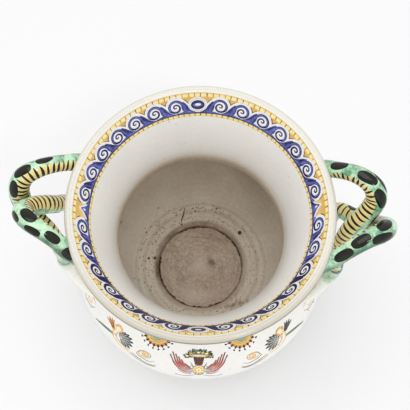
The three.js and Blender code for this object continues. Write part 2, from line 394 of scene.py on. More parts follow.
@dataclass(frozen=True)
class TinGlaze:
    """White tin glaze with fine crackle, specks, dirt inside, painted shade inside the belly and towards the
    throat, and a worn lip with painted shade along its front.
    """

    name: str = "tin_glaze"
    milk: Colour = srgb(247, 245, 240)
    cool: Colour = srgb(240, 239, 235)
    crack: Colour = srgb(150, 132, 108)
    iron: Colour = srgb(92, 66, 44)
    soil: Colour = srgb(214, 203, 186)
    deep_dirt_and_shade: Colour = srgb(172, 150, 127)
    grime: Colour = srgb(96, 70, 46)
    worn: Colour = srgb(208, 204, 193)
    lip_front_shade: Colour = srgb(184, 177, 160)
    roughness: float = 0.16
    dirt_and_shade_roughness: float = 0.34
    cloud_scale: float = 11.0
    cloud_grain: float = 190.0
    crackle_scale: float = 170.0
    crackle_width: float = 0.035
    crackle_share: float = 0.05
    speck_scale: float = 240.0
    speck_amount: float = 0.02
    speck_share: float = 0.5
    speck_depth: float = 0.6
    wear_scale: float = 260.0
    lip_front_shade_span: Point = (-0.03, -0.14)
    lip_front_shade_share: float = 0.6
    soil_drift: float = 0.9
    fleck_scale: float = 900.0
    dust_share: float = 0.38
    haze_share: float = 0.24
    bare_share: float = 0.46
    grime_scale: float = 42.0
    ring_scale: float = 340.0
    ring_length: float = 10.0
    ring_core: float = 0.014
    bump: float = 0.05
    bump_scale: float = 60.0

    def make(self, effects: Effects) -> Material:
        """Builds the material; the mesh marks say where it is dirty or worn and where painted shade darkens
        it.

        Args:
            effects: The shared node groups.

        Returns:
            The material.
        """
        material, w, shader = new_finish(self.name)
        tone = w.use(effects.cloud, Scale=self.cloud_scale, Fine=self.cloud_grain)
        colour = self.lay_wear_and_shade(w, w.mix(w.step(tone, 0.38, 0.66), self.milk, self.cool))
        cracks = w.use(effects.crackle, Scale=self.crackle_scale, Width=self.crackle_width)
        colour = w.mix(w.times(cracks, self.crackle_share), colour, self.crack)
        # This mark carries dirt and painted shade alike: shade towards the throat and inside the belly, dirt
        # on the floor and lower wall.
        dirt_and_shade_area = w.step(w.mark("soil"), 0.0, 0.25)
        film = w.plus(w.mark("soil"), w.times(w.around(tone, self.soil_drift), dirt_and_shade_area))
        dirt_and_shade_tint = w.step(film, 0.0, 0.7)
        colour = w.mix(dirt_and_shade_tint, colour, self.soil)
        colour = w.mix(w.step(film, 0.5, 1.15), colour, self.deep_dirt_and_shade)
        colour = self.lay_dirt(w, colour)
        specks = w.use(effects.specks, Scale=self.speck_scale, Amount=self.speck_amount)
        colour = w.mix(w.times(specks, self.speck_share), colour, self.iron)
        broken = w.step(w.noise(w.place(), self.grime_scale, 5.0, 0.7), 0.26, 0.54)
        colour = w.mix(w.times(w.mark("grime"), broken), colour, self.grime)
        w.link(colour, shader, "Base Color")
        w.link(w.plus(self.roughness, w.times(dirt_and_shade_tint, self.dirt_and_shade_roughness)), shader, "Roughness")
        height = w.plus(w.noise(w.place(), self.bump_scale, 2.0), w.times(specks, -self.speck_depth))
        w.bump(shader, height, self.bump)
        return material

    def lay_wear_and_shade(self, w: Wiring, colour: Socket) -> Socket:
        """Colour with the lip worn grey, and painted shade darkening it along the front.

        Args:
            w: The material's wiring.
            colour: Colour of the sound glaze.

        Returns:
            The worn colour.
        """
        grain = w.plus(0.62, w.times(w.noise(w.place(), self.wear_scale, 4.0, 0.7), 0.6), clamp=True)
        colour = w.mix(w.times(w.mark("wear"), grain), colour, self.worn)
        # Painted shade: the lip is darker along the front.
        front = w.step(w.add("SeparateXYZ", {0: w.place()}).outputs[1], *self.lip_front_shade_span)
        return w.mix(w.times(w.times(w.mark("wear"), front), self.lip_front_shade_share), colour, self.lip_front_shade)

    def lay_dirt(self, w: Wiring, colour: Socket) -> Socket:
        """Colour with flecks, rings and a haze of dirt where soil has settled, and bare streaks between.

        Args:
            w: The material's wiring.
            colour: Colour of the glaze beneath.

        Returns:
            The dirty colour.
        """
        settled = w.step(w.mark("soil"), 0.8, 1.05)
        rings = self.rings(w)
        patch = w.noise(rings, 1.0, 5.0, 0.72)
        fleck = w.noise(w.place(), self.fleck_scale, 4.0, 0.8)
        dust = w.plus(w.step(fleck, 0.52, 0.66), w.step(patch, 0.50, 0.64))
        colour = w.mix(w.times(w.times(dust, settled), self.dust_share, clamp=True), colour, self.grime)
        haze = w.times(w.step(w.noise(rings, 0.2, 3.0, 0.6), 0.44, 0.62), settled)
        colour = w.mix(w.times(haze, self.haze_share), colour, self.grime)
        bare = w.times(w.step(patch, 0.48, 0.34), settled)
        return w.mix(w.times(bare, self.bare_share), colour, self.soil)

    def rings(self, w: Wiring) -> Socket:
        """Coordinates that stretch a noise round the axis, as dirt lies along throwing rings.

        Args:
            w: The material's wiring.

        Returns:
            A vector of radius and heading.
        """
        across, back, _ = w.add("SeparateXYZ", {0: w.place()}).outputs
        radius = w.math("SQRT", w.plus(w.times(across, across), w.times(back, back)))
        reach = w.plus(radius, self.ring_core)
        heading = [w.times(w.math("DIVIDE", axis, reach), self.ring_length) for axis in (across, back)]
        parts = [w.times(radius, self.ring_scale), *heading]
        return w.add("CombineXYZ", dict(enumerate(parts))).outputs[0]


@dataclass(frozen=True)
class PigmentFinish:
    """In-glaze pigment: a thin colour in the middle of a stroke and a pooled one at its edges."""

    pooled: Colour
    thin: Colour
    pool: float = 0.6
    roughness: float = 0.16
    grain: float = 180.0
    shine: float = 0.5
    bump: float = 0.05
    bump_scale: float = 60.0

    def make(self, name: str, effects: Effects) -> Material:
        """Builds the material from the stroke's own marks.

        Args:
            name: Name of the pigment.
            effects: The shared node groups.

        Returns:
            The material.
        """
        material, w, shader = new_finish("pigment_" + name)
        thin = w.use(effects.brush, Pool=self.pool, Scale=self.grain)
        w.link(w.mix(thin, self.pooled, self.thin), shader, "Base Color")
        shader.inputs["Roughness"].default_value = self.roughness
        shader.inputs["Specular IOR Level"].default_value = self.shine
        w.bump(shader, w.noise(w.place(), self.bump_scale, 2.0), self.bump)
        return material


class Pigment(Enum):
    """Colours on the painter's palette, and those of dirt."""

    COBALT = PigmentFinish(srgb(26, 20, 88), srgb(118, 132, 224), 0.42, grain=150.0)
    NAVY = PigmentFinish(srgb(24, 21, 58), srgb(44, 42, 94), 0.4)
    WHITE = PigmentFinish(srgb(232, 231, 236), srgb(248, 247, 246))
    GOLD = PigmentFinish(srgb(224, 176, 94), srgb(245, 215, 144))
    OCHRE = PigmentFinish(srgb(222, 180, 88), srgb(240, 206, 120))
    ORANGE = PigmentFinish(srgb(206, 132, 44), srgb(238, 182, 92))
    YELLOW = PigmentFinish(srgb(246, 220, 132), srgb(253, 240, 184))
    BROWN = PigmentFinish(srgb(42, 20, 13), srgb(82, 39, 25), 0.5)
    BLACK = PigmentFinish(srgb(14, 12, 7), srgb(38, 34, 22), 0.5, shine=0.3)
    GREEN = PigmentFinish(srgb(30, 54, 34), srgb(76, 104, 64))
    SAGE = PigmentFinish(srgb(36, 40, 37), srgb(112, 117, 108), 0.7)
    RED = PigmentFinish(srgb(142, 46, 38), srgb(204, 106, 88))
    SLATE = PigmentFinish(srgb(108, 114, 134), srgb(176, 182, 198))
    CREAM = PigmentFinish(srgb(238, 218, 172), srgb(252, 244, 222), 0.7)
    OLIVE = PigmentFinish(srgb(104, 98, 78), srgb(138, 132, 108))
    LEAF = PigmentFinish(srgb(112, 146, 98), srgb(160, 190, 142))
    UMBER = PigmentFinish(srgb(100, 78, 56), srgb(136, 116, 94), roughness=0.45)
    DUST = PigmentFinish(srgb(142, 116, 91), srgb(166, 143, 119), roughness=0.6)
    SPOT = PigmentFinish(srgb(10, 11, 8), srgb(32, 33, 24), 0.55, roughness=0.1, grain=120.0, shine=0.3)
    SOOT = PigmentFinish(srgb(34, 22, 12), srgb(74, 50, 30), 0.5, roughness=0.8)
    RUST = PigmentFinish(srgb(84, 60, 38), srgb(120, 92, 64), 0.3, roughness=0.8)


(COBALT, NAVY, WHITE, GOLD, OCHRE, ORANGE, YELLOW, BROWN, BLACK, GREEN, SAGE, RED, SLATE, CREAM, OLIVE, LEAF,
 UMBER, DUST, SPOT, SOOT, RUST) = Pigment


@dataclass(frozen=True)
class SerpentGlaze:
    """Sea-green glaze of the serpents with a yellow belly and a paler tail; painted shade darkens the back
    green and turns the glaze olive, and the belly ochre, near the roots and where the coils touch.
    """

    name: str = "serpent_glaze"
    mint: Colour = srgb(188, 227, 190)
    emerald: Colour = srgb(62, 130, 90)
    teal: Colour = srgb(48, 108, 88)
    pale: Colour = srgb(226, 238, 204)
    belly: Colour = srgb(230, 211, 142)
    ochre: Colour = srgb(190, 144, 66)
    olive: Colour = srgb(92, 104, 62)
    shade: Colour = srgb(46, 94, 66)
    milk: Colour = srgb(247, 245, 236)
    roughness: float = 0.10
    cloud_scale: float = 34.0
    cloud_grain: float = 240.0
    streak_scale: float = 95.0
    streak_stretch: tuple[float, float, float] = (1.0, 1.0, 0.45)
    emerald_share: float = 0.9
    teal_share: float = 0.72
    pale_share: float = 0.7
    dusk_share: float = 0.9
    root_shade_share: float = 0.7
    ragged_edge: float = 0.5
    bump: float = 0.12
    bump_scale: float = 120.0

    def make(self, effects: Effects) -> Material:
        """Builds the material; the marks belly, root, tail and back say where each colour lies.

        Args:
            effects: The shared node groups.

        Returns:
            The material.
        """
        material, w, shader = new_finish(self.name)
        tone = w.use(effects.cloud, Scale=self.cloud_scale, Fine=self.cloud_grain)
        deep = w.times(w.step(tone, 0.42, 0.64), self.emerald_share)
        colour = w.mix(deep, self.mint, self.emerald)
        drawn = w.add("Mapping", {"Vector": w.place(), "Scale": self.streak_stretch}).outputs[0]
        streak = w.noise(drawn, self.streak_scale, 4.0, 0.6)
        colour = w.mix(w.times(w.step(streak, 0.54, 0.66), self.teal_share), colour, self.teal)
        colour = w.mix(w.times(w.step(streak, 0.46, 0.30), self.pale_share), colour, self.pale)
        dusk = w.times(w.mark("back"), w.plus(0.25, tone))
        colour = w.mix(w.times(dusk, self.dusk_share, clamp=True), colour, self.shade)
        ragged = w.around(streak, self.ragged_edge)
        # Painted shade near the roots and where the coils touch: olive on the green, ochre on the belly.
        root_shade = w.times(w.mark("root"), w.step(tone, 0.36, 0.56))
        warm = w.math("MAXIMUM", root_shade, w.times(w.step(tone, 0.5, 0.7), 0.5))
        under = w.step(w.plus(w.mark("belly"), ragged), 0.30, 0.72)
        colour = w.mix(under, colour, w.mix(warm, self.belly, self.ochre))
        colour = w.mix(w.times(root_shade, self.root_shade_share), colour, self.olive)
        colour = w.mix(w.step(w.plus(w.mark("tail"), ragged), 0.0, 1.0), colour, self.milk)
        w.link(colour, shader, "Base Color")
        shader.inputs["Roughness"].default_value = self.roughness
        w.bump(shader, w.noise(w.place(), self.bump_scale), self.bump)
        return material


@dataclass(frozen=True)
class StudioFloor:
    """Plain pale paper under the vase."""

    name: str = "studio_paper"
    paper: Colour = (0.82, 0.82, 0.825, 1.0)
    shade: Colour = (0.8, 0.79, 0.78, 1.0)
    shade_scale: float = 1.4
    shade_share: float = 0.02
    roughness: float = 0.7

    def make(self) -> Material:
        """Builds the material, with a tone that hardly changes.

        Returns:
            The material.
        """
        material, w, shader = new_finish(self.name)
        tone = w.times(w.noise(w.place(), self.shade_scale), self.shade_share)
        w.link(w.mix(tone, self.paper, self.shade), shader, "Base Color")
        shader.inputs["Roughness"].default_value = self.roughness
        return material


# Form of the vase

@dataclass(frozen=True)
class VaseForm:
    """Driving dimensions of the thrown body, as in the solids, and its profile curves."""

    height: float = 312.0
    throat_level: float = 196.0
    belly_level: float = 114.0
    well_level: float = 24.7
    lip_radius: float = 150.0
    throat_radius: float = 105.0
    belly_radius: float = 173.2
    well_radius: float = 65.0
    foot_radius: float = 92.0
    wall: float = 8.6
    lip_width: float = 8.0
    bead_width: float = 4.8
    bead_height: float = 5.6
    well_depth: float = 4.7
    dish_rise: float = 2.4
    foot_height: float = 12.0
    foot_step: float = 4.0
    foot_ring_width: float = 16.0
    foot_ring_slope: float = 3.0
    foot_recess: float = 9.0
    neck_flare: float = 1.68
    under_lip: float = 0.9
    shoulder_hollow: float = 24.0
    lap_depth: float = 6.0
    lip_end: float = -math.pi / 3
    samples: int = 80

    @property
    def rim_radius(self) -> float:
        """Radius where the neck's inside turns into the lip."""
        return self.lip_radius - self.lip_width

    @property
    def bead_start(self) -> float:
        """Angle on the lip's ellipse where the neck's inside meets it."""
        return math.acos((self.rim_radius - self.lip_radius + self.bead_width) / self.bead_width)

    @property
    def rim_level(self) -> float:
        """Level where the neck's inside turns into the lip."""
        return self.height - self.bead_height * (1 - math.sin(self.bead_start))

    @property
    def throat_outside(self) -> float:
        """Outer radius of the throat."""
        return self.throat_radius + self.wall

    @property
    def lap_radius(self) -> float:
        """Radius of the step where neck and belly lap over each other, half way through the wall."""
        return self.throat_radius + self.wall / 2

    @property
    def lap_level(self) -> float:
        """Level down to which the neck laps into the belly."""
        return self.throat_level - self.lap_depth

    @property
    def foot_neck(self) -> float:
        """Radius of the foot's neck, where the belly stands on it."""
        return self.foot_radius - self.foot_step

    def neck_inside(self, share: Array) -> Array:
        """Inside of the neck: the radius grows with a power of the share of its height.

        Args:
            share: Shares of its height, from 0 at the throat.

        Returns:
            Rows of radius and level.
        """
        radius = self.throat_radius + (self.rim_radius - self.throat_radius) * share**self.neck_flare
        level = self.throat_level + (self.rim_level - self.throat_level) * share
        return np.stack([radius, level], -1)

    def shoulder_radius(self, level: Array) -> Array:
        """Outside of the shoulder: a parabola from the belly, eased into the throat by a hollow.

        Args:
            level: Levels from the widest one to the throat.

        Returns:
            The radius at each level.
        """
        share = np.clip((level - self.belly_level) / (self.throat_level - self.belly_level), 0, 1)
        hollow = self.shoulder_hollow
        rise = self.belly_radius - self.throat_outside + hollow
        swell = math.sqrt(rise**2 - hollow**2)
        return self.throat_outside - hollow + np.hypot(swell * (1 - share**2), hollow)

    def lip(self, count: int) -> Array:
        """Rounded lip: an arc of an ellipse from the neck's inside to the underside of the bead.

        Args:
            count: Number of points.

        Returns:
            Rows of radius and level.
        """
        turn = np.linspace(self.bead_start, self.lip_end, count)
        radius = self.lip_radius - self.bead_width + self.bead_width * np.cos(turn)
        return np.stack([radius, self.height - self.bead_height + self.bead_height * np.sin(turn)], -1)

    def neck_outside(self, count: int) -> Array:
        """Outside of the neck, from under the lip down to the throat: the inside set off by the wall.

        Args:
            count: Number of points.

        Returns:
            Rows of radius and level.
        """
        line = self.neck_inside(np.linspace(self.under_lip, 0, count))
        back = line + self.wall * left_of(line)
        back[-1] = (self.throat_outside, self.throat_level)
        return back

    def underside(self, count: int) -> Array:
        """Lower belly: an ellipse from the widest level down to the foot's neck.

        Args:
            count: Number of points.

        Returns:
            Rows of radius and level.
        """
        end = math.acos(self.foot_neck / self.belly_radius)
        drop = (self.belly_level - self.foot_height) / math.sin(end)
        turn = np.linspace(0, end, count)
        return np.stack([self.belly_radius * np.cos(turn), self.belly_level - drop * np.sin(turn)], -1)

    def shoulder(self, count: int) -> Array:
        """Shoulder from the throat down to the widest level."""
        level = np.linspace(self.throat_level, self.belly_level, count)
        return np.stack([self.shoulder_radius(level), level], -1)

    def outer_radius(self, level: Array) -> Array:
        """Outer radius of neck and belly at a level.

        Args:
            level: Levels above the foot.

        Returns:
            The radius at each level.
        """
        neck = self.neck_outside(self.samples)[::-1]
        above = np.interp(level, neck[:, 1], neck[:, 0])
        lower = self.underside(self.samples)[::-1]
        below = np.interp(level, lower[:, 1], lower[:, 0])
        belly = np.where(level > self.belly_level, self.shoulder_radius(level), below)
        return np.where(level > self.throat_level, above, belly)


FORM = VaseForm()


class Facing(Enum):
    """Way that a turned skin looks, as a direction in radius and level."""

    OUT = (1.0, 0.0)
    IN = (-1.0, 0.0)
    UP = (0.0, 1.0)


class TurnedSkin:
    """Skin turned about the axis, addressed by azimuth in radians and distance along its profile."""

    def __init__(self, profile: Array, facing: Facing) -> None:
        """Keeps the profile, its running distance and its normals.

        Args:
            profile: Rows of radius and level.
            facing: Way that the skin looks on the whole.
        """
        self.profile = profile
        self.run = run_of(profile)
        side = left_of(profile)
        self.normal = side * np.sign(np.sum(side @ np.array(facing.value)))

    def at_level(self, level: float) -> float:
        """Distance along the profile at a level."""
        order = np.argsort(self.profile[:, 1])
        return float(np.interp(level, self.profile[order, 1], self.run[order]))

    def radius(self, along: Array) -> Array:
        """Radius at a distance along the profile."""
        return np.interp(along, self.run, self.profile[:, 0])

    def place(self, azimuth: Array, along: Array) -> tuple[Array, Array]:
        """Points and normals of the skin, by turning the profile to each azimuth.

        Args:
            azimuth: Angles in radians.
            along: Distances along the profile.

        Returns:
            The points and the normals.
        """
        radius, level = (np.interp(along, self.run, self.profile[:, k]) for k in range(2))
        out, up = (np.interp(along, self.run, self.normal[:, k]) for k in range(2))
        across, back = np.cos(azimuth), np.sin(azimuth)
        points = np.stack([radius * across, radius * back, level], -1)
        return points, unit(np.stack([out * across, out * back, up], -1))


@dataclass(frozen=True)
class Slip:
    """Fillet of slip round a coil's root: it swells the coil close to the wall."""

    form: VaseForm
    height: float = 3.0
    reach: float = 3.5
    end: float = 70.0
    fade: float = 20.0

    def swell(self, points: Array, run: Array) -> Array:
        """Extra radius: the fillet's height, fading with the distance from the wall and along the coil.

        Args:
            points: Points of the plain coil.
            run: Their distances along it.

        Returns:
            Millimetres per point.
        """
        stand = np.hypot(points[..., 0], points[..., 1]) - self.form.outer_radius(points[..., 2])
        fading = smooth(-run, -self.end, self.fade - self.end)
        return self.height * fading * np.exp(-np.maximum(stand, 0) / self.reach)

    def press(self, points: Array) -> Array:
        """Points pushed out along the radius so that none lies deeper than half the wall.

        Args:
            points: Points of the coil.

        Returns:
            The pressed points.
        """
        deepest = self.form.outer_radius(points[..., 2]) - self.form.wall / 2
        out = np.maximum(deepest / np.hypot(points[..., 0], points[..., 1]), 1)
        return points * np.stack([out, out, np.ones_like(out)], -1)


class CoilSkin:
    """Skin of a rolled coil, addressed by distance along it and by angle from its belly line."""

    def __init__(self, centre: Array, radius: Array, focus: Array, slip: Slip) -> None:
        """Keeps the coil's middle line and a frame whose first axis looks towards the focus.

        Args:
            centre: Points of the middle line.
            radius: Coil radius at each point.
            focus: Point that the serpent's belly looks at.
            slip: Fillet round the root.
        """
        self.centre = centre
        self.size = radius
        self.slip = slip
        self.run = run_of(centre)
        self.tangent = unit(np.gradient(centre, axis=0))
        look = focus - centre
        look = look - np.sum(look * self.tangent, axis=1, keepdims=True) * self.tangent
        self.belly = unit(look)
        self.side = np.cross(self.tangent, self.belly)

    def at(self, run: Array, rows: Array) -> Array:
        """Rows of a table interpolated at a distance along the coil."""
        return np.stack([np.interp(run, self.run, rows[:, k]) for k in range(3)], -1)

    def radius(self, run: Array) -> Array:
        """Coil radius at a distance along the coil."""
        return np.interp(run, self.run, self.size)

    def place(self, run: Array, turn: Array) -> tuple[Array, Array]:
        """Points and normals of the skin: a circle of the coil's radius carried along the middle line.

        Args:
            run: Distances along the coil.
            turn: Angles from the belly line in radians.

        Returns:
            The points and the normals.
        """
        normal = (np.cos(turn)[..., None] * unit(self.at(run, self.belly))
                  + np.sin(turn)[..., None] * unit(self.at(run, self.side)))
        normal = unit(normal)
        points = self.at(run, self.centre) + self.radius(run)[..., None] * normal
        return self.slip.press(points + self.slip.swell(points, run)[..., None] * normal), normal


# Brushwork

@dataclass
class Brushwork:
    """Strokes and fills laid on one skin as thin closed films, gathered by pigment."""

    skin: TurnedSkin | CoilSkin
    seed: int
    step: float = 1.5
    breadth: float = 2.2
    film: float = 0.04
    coat: float = 0.024
    sink: float = 0.12
    hoop_steps: int = 480
    waver: tuple = ((0.8, 7, 1), (0.6, 19, 2))
    load: Point = (0.25, 0.75)
    load_spread: float = 0.25
    piles: dict[Pigment, MeshPile] = field(default_factory=dict)

    def __post_init__(self) -> None:
        """Seeds the painter's hand."""
        self.hand = np.random.default_rng(self.seed)

    def circle(self) -> Array:
        """Azimuths of the points of a hoop."""
        return np.linspace(0, 2 * math.pi, self.hoop_steps, endpoint=False)

    def lay(self, pigment: Pigment, left: Array, right: Array, coat: int, across: int,
            joined: bool = False) -> None:
        """Lays one film between two edges.

        The film is the skin between the edges, lifted by the coats below it, with its back in the glaze.

        Args:
            pigment: Its colour.
            left: Skin addresses along one edge.
            right: Skin addresses along the other edge.
            coat: Number of coats beneath it.
            across: Number of points across the film.
            joined: Whether the film runs full circle.
        """
        share = np.linspace(0, 1, across)
        address = left[:, None] * (1 - share)[None, :, None] + right[:, None] * share[None, :, None]
        points, normals = self.skin.place(address[..., 0], address[..., 1])
        top = points + normals * (self.film + self.coat * coat)
        rings = np.concatenate([top, (points - normals * self.sink)[:, ::-1]], axis=1)
        shade = np.concatenate([normals, normals[:, ::-1]], axis=1)
        i = len(left) // 2
        lean = np.cross(top[i, 1] - top[i, 0], top[i - 1, 0] - top[i, 0])
        flip = bool(np.dot(lean, normals[i, 0]) > 0)
        middle = np.concatenate([1 - np.abs(2 * share - 1), np.zeros(across)])
        fade = np.linspace(*self.load, len(left)) + self.hand.uniform(-self.load_spread, self.load_spread)
        marks = {"middle": middle[None, :], "load": np.clip(fade, 0, 1)[:, None]}
        self.piles.setdefault(pigment, MeshPile()).add_tube(rings, flip, joined, marks, shade)

    def hoop(self, pigment: Pigment, low: float, high: float, coat: int, across: int,
             shake: float = 0.15) -> None:
        """Paints a full circle with a slow wobble, a sum of sines, on a turned skin.

        Args:
            pigment: Its colour.
            low: Distance along the skin where it starts.
            high: Distance where it ends.
            coat: Number of coats beneath it.
            across: Number of points across it.
            shake: Size of the wobble.
        """
        azimuth = self.circle()
        wobble = shake * sum(size * np.sin(count * azimuth + k * coat) for size, count, k in self.waver)
        edges = (np.stack([azimuth, edge + wobble], -1) for edge in (low, high))
        self.lay(pigment, *edges, coat, across, True)

    def build(self, prefix: str, palette: dict[Pigment, Material], slot: str) -> None:
        """Makes one piece for each pigment used."""
        for pigment, pile in self.piles.items():
            pile.build(f"{prefix}_{pigment.name.lower()}", palette[pigment], slot)


class Stencil:
    """Place on a skin where a motif is drawn in millimetres, x to one side and y up the skin."""

    MOST_COLUMNS = 16
    FEWEST_ROWS = 8
    EDGE_SAMPLES = 60
    LINE_SAMPLES = 12
    RING_STEP = 8
    DOT_STEP = 0.8
    LEAST_HALF = 0.05
    RAG = 0.05
    TIP = 0.06

    def __init__(self, brush: Brushwork, origin: Point, scale: Point = (1.0, 1.0), angular: int = 0) -> None:
        """Sets the motif's place.

        Args:
            brush: The brushwork that it adds to.
            origin: Skin address of the motif's origin.
            scale: Factors on x and y; a negative x mirrors the motif.
            angular: Which part of the address is an angle.
        """
        self.brush = brush
        self.origin = np.array(origin)
        self.scale = np.array(scale)
        self.angular = angular

    def address(self, points: Array) -> Array:
        """Skin addresses of motif points: the angle is the arc length over the skin's radius there.

        Args:
            points: Rows of x and y.

        Returns:
            Rows of skin addresses.
        """
        flat = points * self.scale
        other = 1 - self.angular
        out = np.empty_like(flat)
        out[:, other] = self.origin[other] + flat[:, other]
        radius = self.brush.skin.radius(out[:, other])
        out[:, self.angular] = self.origin[self.angular] + flat[:, self.angular] / radius
        return out

    def columns(self, width: float) -> int:
        """Number of points across a film of a given width."""
        return int(np.clip(width / self.brush.breadth, 2, self.MOST_COLUMNS)) + 1

    def rows(self, length: float, share: float = 1.0) -> int:
        """Number of points along a film of a given length, at a share of the brush's step."""
        return int(max(self.FEWEST_ROWS, length / (share * self.brush.step)))

    def fill(self, pigment: Pigment, left: Any, right: Any, coat: int = 0) -> None:
        """Fills the shape between two edges, each a smooth curve.

        Args:
            pigment: Its colour.
            left: Given points of one edge.
            right: Given points of the other edge.
            coat: Number of coats beneath it.
        """
        edges = [spline(edge, self.EDGE_SAMPLES) for edge in (left, right)]
        count = self.rows(max(run_of(edge)[-1] for edge in edges))
        a, b = (even(edge, count) for edge in edges)
        across = self.columns(np.max(np.linalg.norm(a - b, axis=1)))
        self.brush.lay(pigment, self.address(a), self.address(b), coat, across)

    def stroke(self, pigment: Pigment, points: Any, widths: Any, coat: int = 1) -> None:
        """Draws a stroke: a smooth line whose edges lie half its width to either side.

        Args:
            pigment: Its colour.
            points: Given points of the line.
            widths: Widths that it runs through, evenly spread; the hand scales them a little.
            coat: Number of coats beneath it.
        """
        line = np.asarray(points, float)
        share, marks = (np.linspace(0, 1, len(values)) for values in (line, widths))
        width = np.interp(share, marks, np.asarray(widths, float))
        path = spline(np.column_stack([line, width]), self.LINE_SAMPLES * len(line))
        path = even(path, self.rows(run_of(path[:, :2])[-1]))
        half = np.maximum(path[:, 2] / 2 * self.brush.hand.uniform(0.9, 1.1), self.LEAST_HALF)
        side = left_of(path[:, :2]) * half[:, None]
        edges = (self.address(path[:, :2] + turn * side) for turn in (-1, 1))
        self.brush.lay(pigment, *edges, coat, self.columns(2 * np.max(half)))

    def ring(self, pigment: Pigment, centre: Point, inner: float, outer: float, start: float, end: float,
             coat: int = 1, squash: float = 1.0) -> None:
        """Paints an arc band between two radii.

        Args:
            pigment: Its colour.
            centre: Middle of the arc.
            inner: Inner radius.
            outer: Outer radius.
            start: Angle in degrees where it starts.
            end: Angle in degrees where it ends.
            coat: Number of coats beneath it.
            squash: Height of the arc as a share of its width.
        """
        turn = np.radians(np.linspace(start, end, int(max(10, abs(end - start) / self.RING_STEP))))
        spokes = np.stack([np.cos(turn), squash * np.sin(turn)], -1)
        edges = (self.address(np.array(centre) + reach * spokes) for reach in (inner, outer))
        self.brush.lay(pigment, *edges, coat, self.columns(outer - inner))

    def dot(self, pigment: Pigment, centre: Point, length: float, width: float, tilt: float = 0.0,
            coat: int = 1, blunt: float = 1.0) -> None:
        """Dabs an oval, as a fill between its two halves.

        Args:
            pigment: Its colour.
            centre: Middle of the oval.
            length: Its length.
            width: Its width.
            tilt: Angle of its length in radians.
            coat: Number of coats beneath it.
            blunt: Power of the outline; below 1 it squares the ends off.
        """
        turn = np.linspace(self.TIP, math.pi - self.TIP, self.rows(length, self.DOT_STEP))
        lean = np.array([[math.cos(tilt), math.sin(tilt)], [-math.sin(tilt), math.cos(tilt)]])
        rag = 1 + self.RAG * self.brush.hand.standard_normal(2)
        half = np.stack([-np.cos(turn) * length / 2, np.sin(turn) ** blunt * width / 2], -1)
        edges = (self.address((half * [1, reach]) @ lean + centre) for reach in (rag[0], -rag[1]))
        self.brush.lay(pigment, *edges, coat, self.columns(1.4 * width))


# Thrown body

TURNS = 400
CORNER_HOLD = 0.15


def blots(radius: Array, spots: tuple) -> Array:
    """Soft blots on a turned surface.

    Args:
        radius: Radius of each profile point.
        spots: Azimuth in degrees, radius, reach round the axis, reach across and strength of each blot.

    Returns:
        Values per profile point and turn.
    """
    azimuth = np.linspace(0, 360, TURNS, endpoint=False)
    total = np.zeros((len(radius), TURNS))
    for turn, at, along, across, strength in spots:
        off = np.radians((azimuth - turn + 180) % 360 - 180) * at / along
        total += strength * np.exp(-off**2 - ((radius[:, None] - at) / across) ** 2)
    return np.minimum(total, 1.0)


def corners(*points: Any) -> Array:
    """Crisp corners of a profile: each inner point, between two that hold the shading close to it.

    Args:
        points: Radius and level of each corner, with a neighbour at either end.

    Returns:
        Rows of radius and level, three to a corner.
    """
    line = [np.array(point, float) for point in points]
    return np.concatenate([
        (b + CORNER_HOLD * unit(a - b), b, b + CORNER_HOLD * unit(c - b))
        for a, b, c in zip(line, line[1:], line[2:])
    ])


@dataclass
class ThrownPiece:
    """Piece of the body that is turned about the axis and dressed in place of a CAD node."""

    form: VaseForm = FORM

    def turn(self, node: str, profile: Array, joined: bool, finish: tuple[Material, str],
             **marks: Array) -> None:
        """Turns a profile about the axis.

        Args:
            node: CAD node that the piece stands for.
            profile: Rows of radius and level, in order along the section.
            joined: Whether the profile closes on itself; otherwise both ends are capped near the axis.
            finish: The glaze and the record's material slot.
            marks: Dirt and painted shade, grime or wear per profile point, or per profile point and turn; 0
                if left out.
        """
        azimuth = np.linspace(0, 2 * math.pi, TURNS, endpoint=False)
        radius, level = profile[:, :1], profile[:, 1:]
        rings = np.stack(np.broadcast_arrays(radius * np.cos(azimuth), radius * np.sin(azimuth), level), -1)
        following = np.roll(profile, -1, axis=0)
        area = np.sum(profile[:, 0] * following[:, 1] - following[:, 0] * profile[:, 1])
        count = len(profile)
        clean = np.zeros(count)
        shaped = {name: marks.get(name, clean).reshape(count, -1) for name in ("soil", "grime", "wear")}
        pile = MeshPile()
        pile.add_tube(rings, bool(area > 0), joined, shaped)
        pile.build("glazed_" + node, *finish, node)


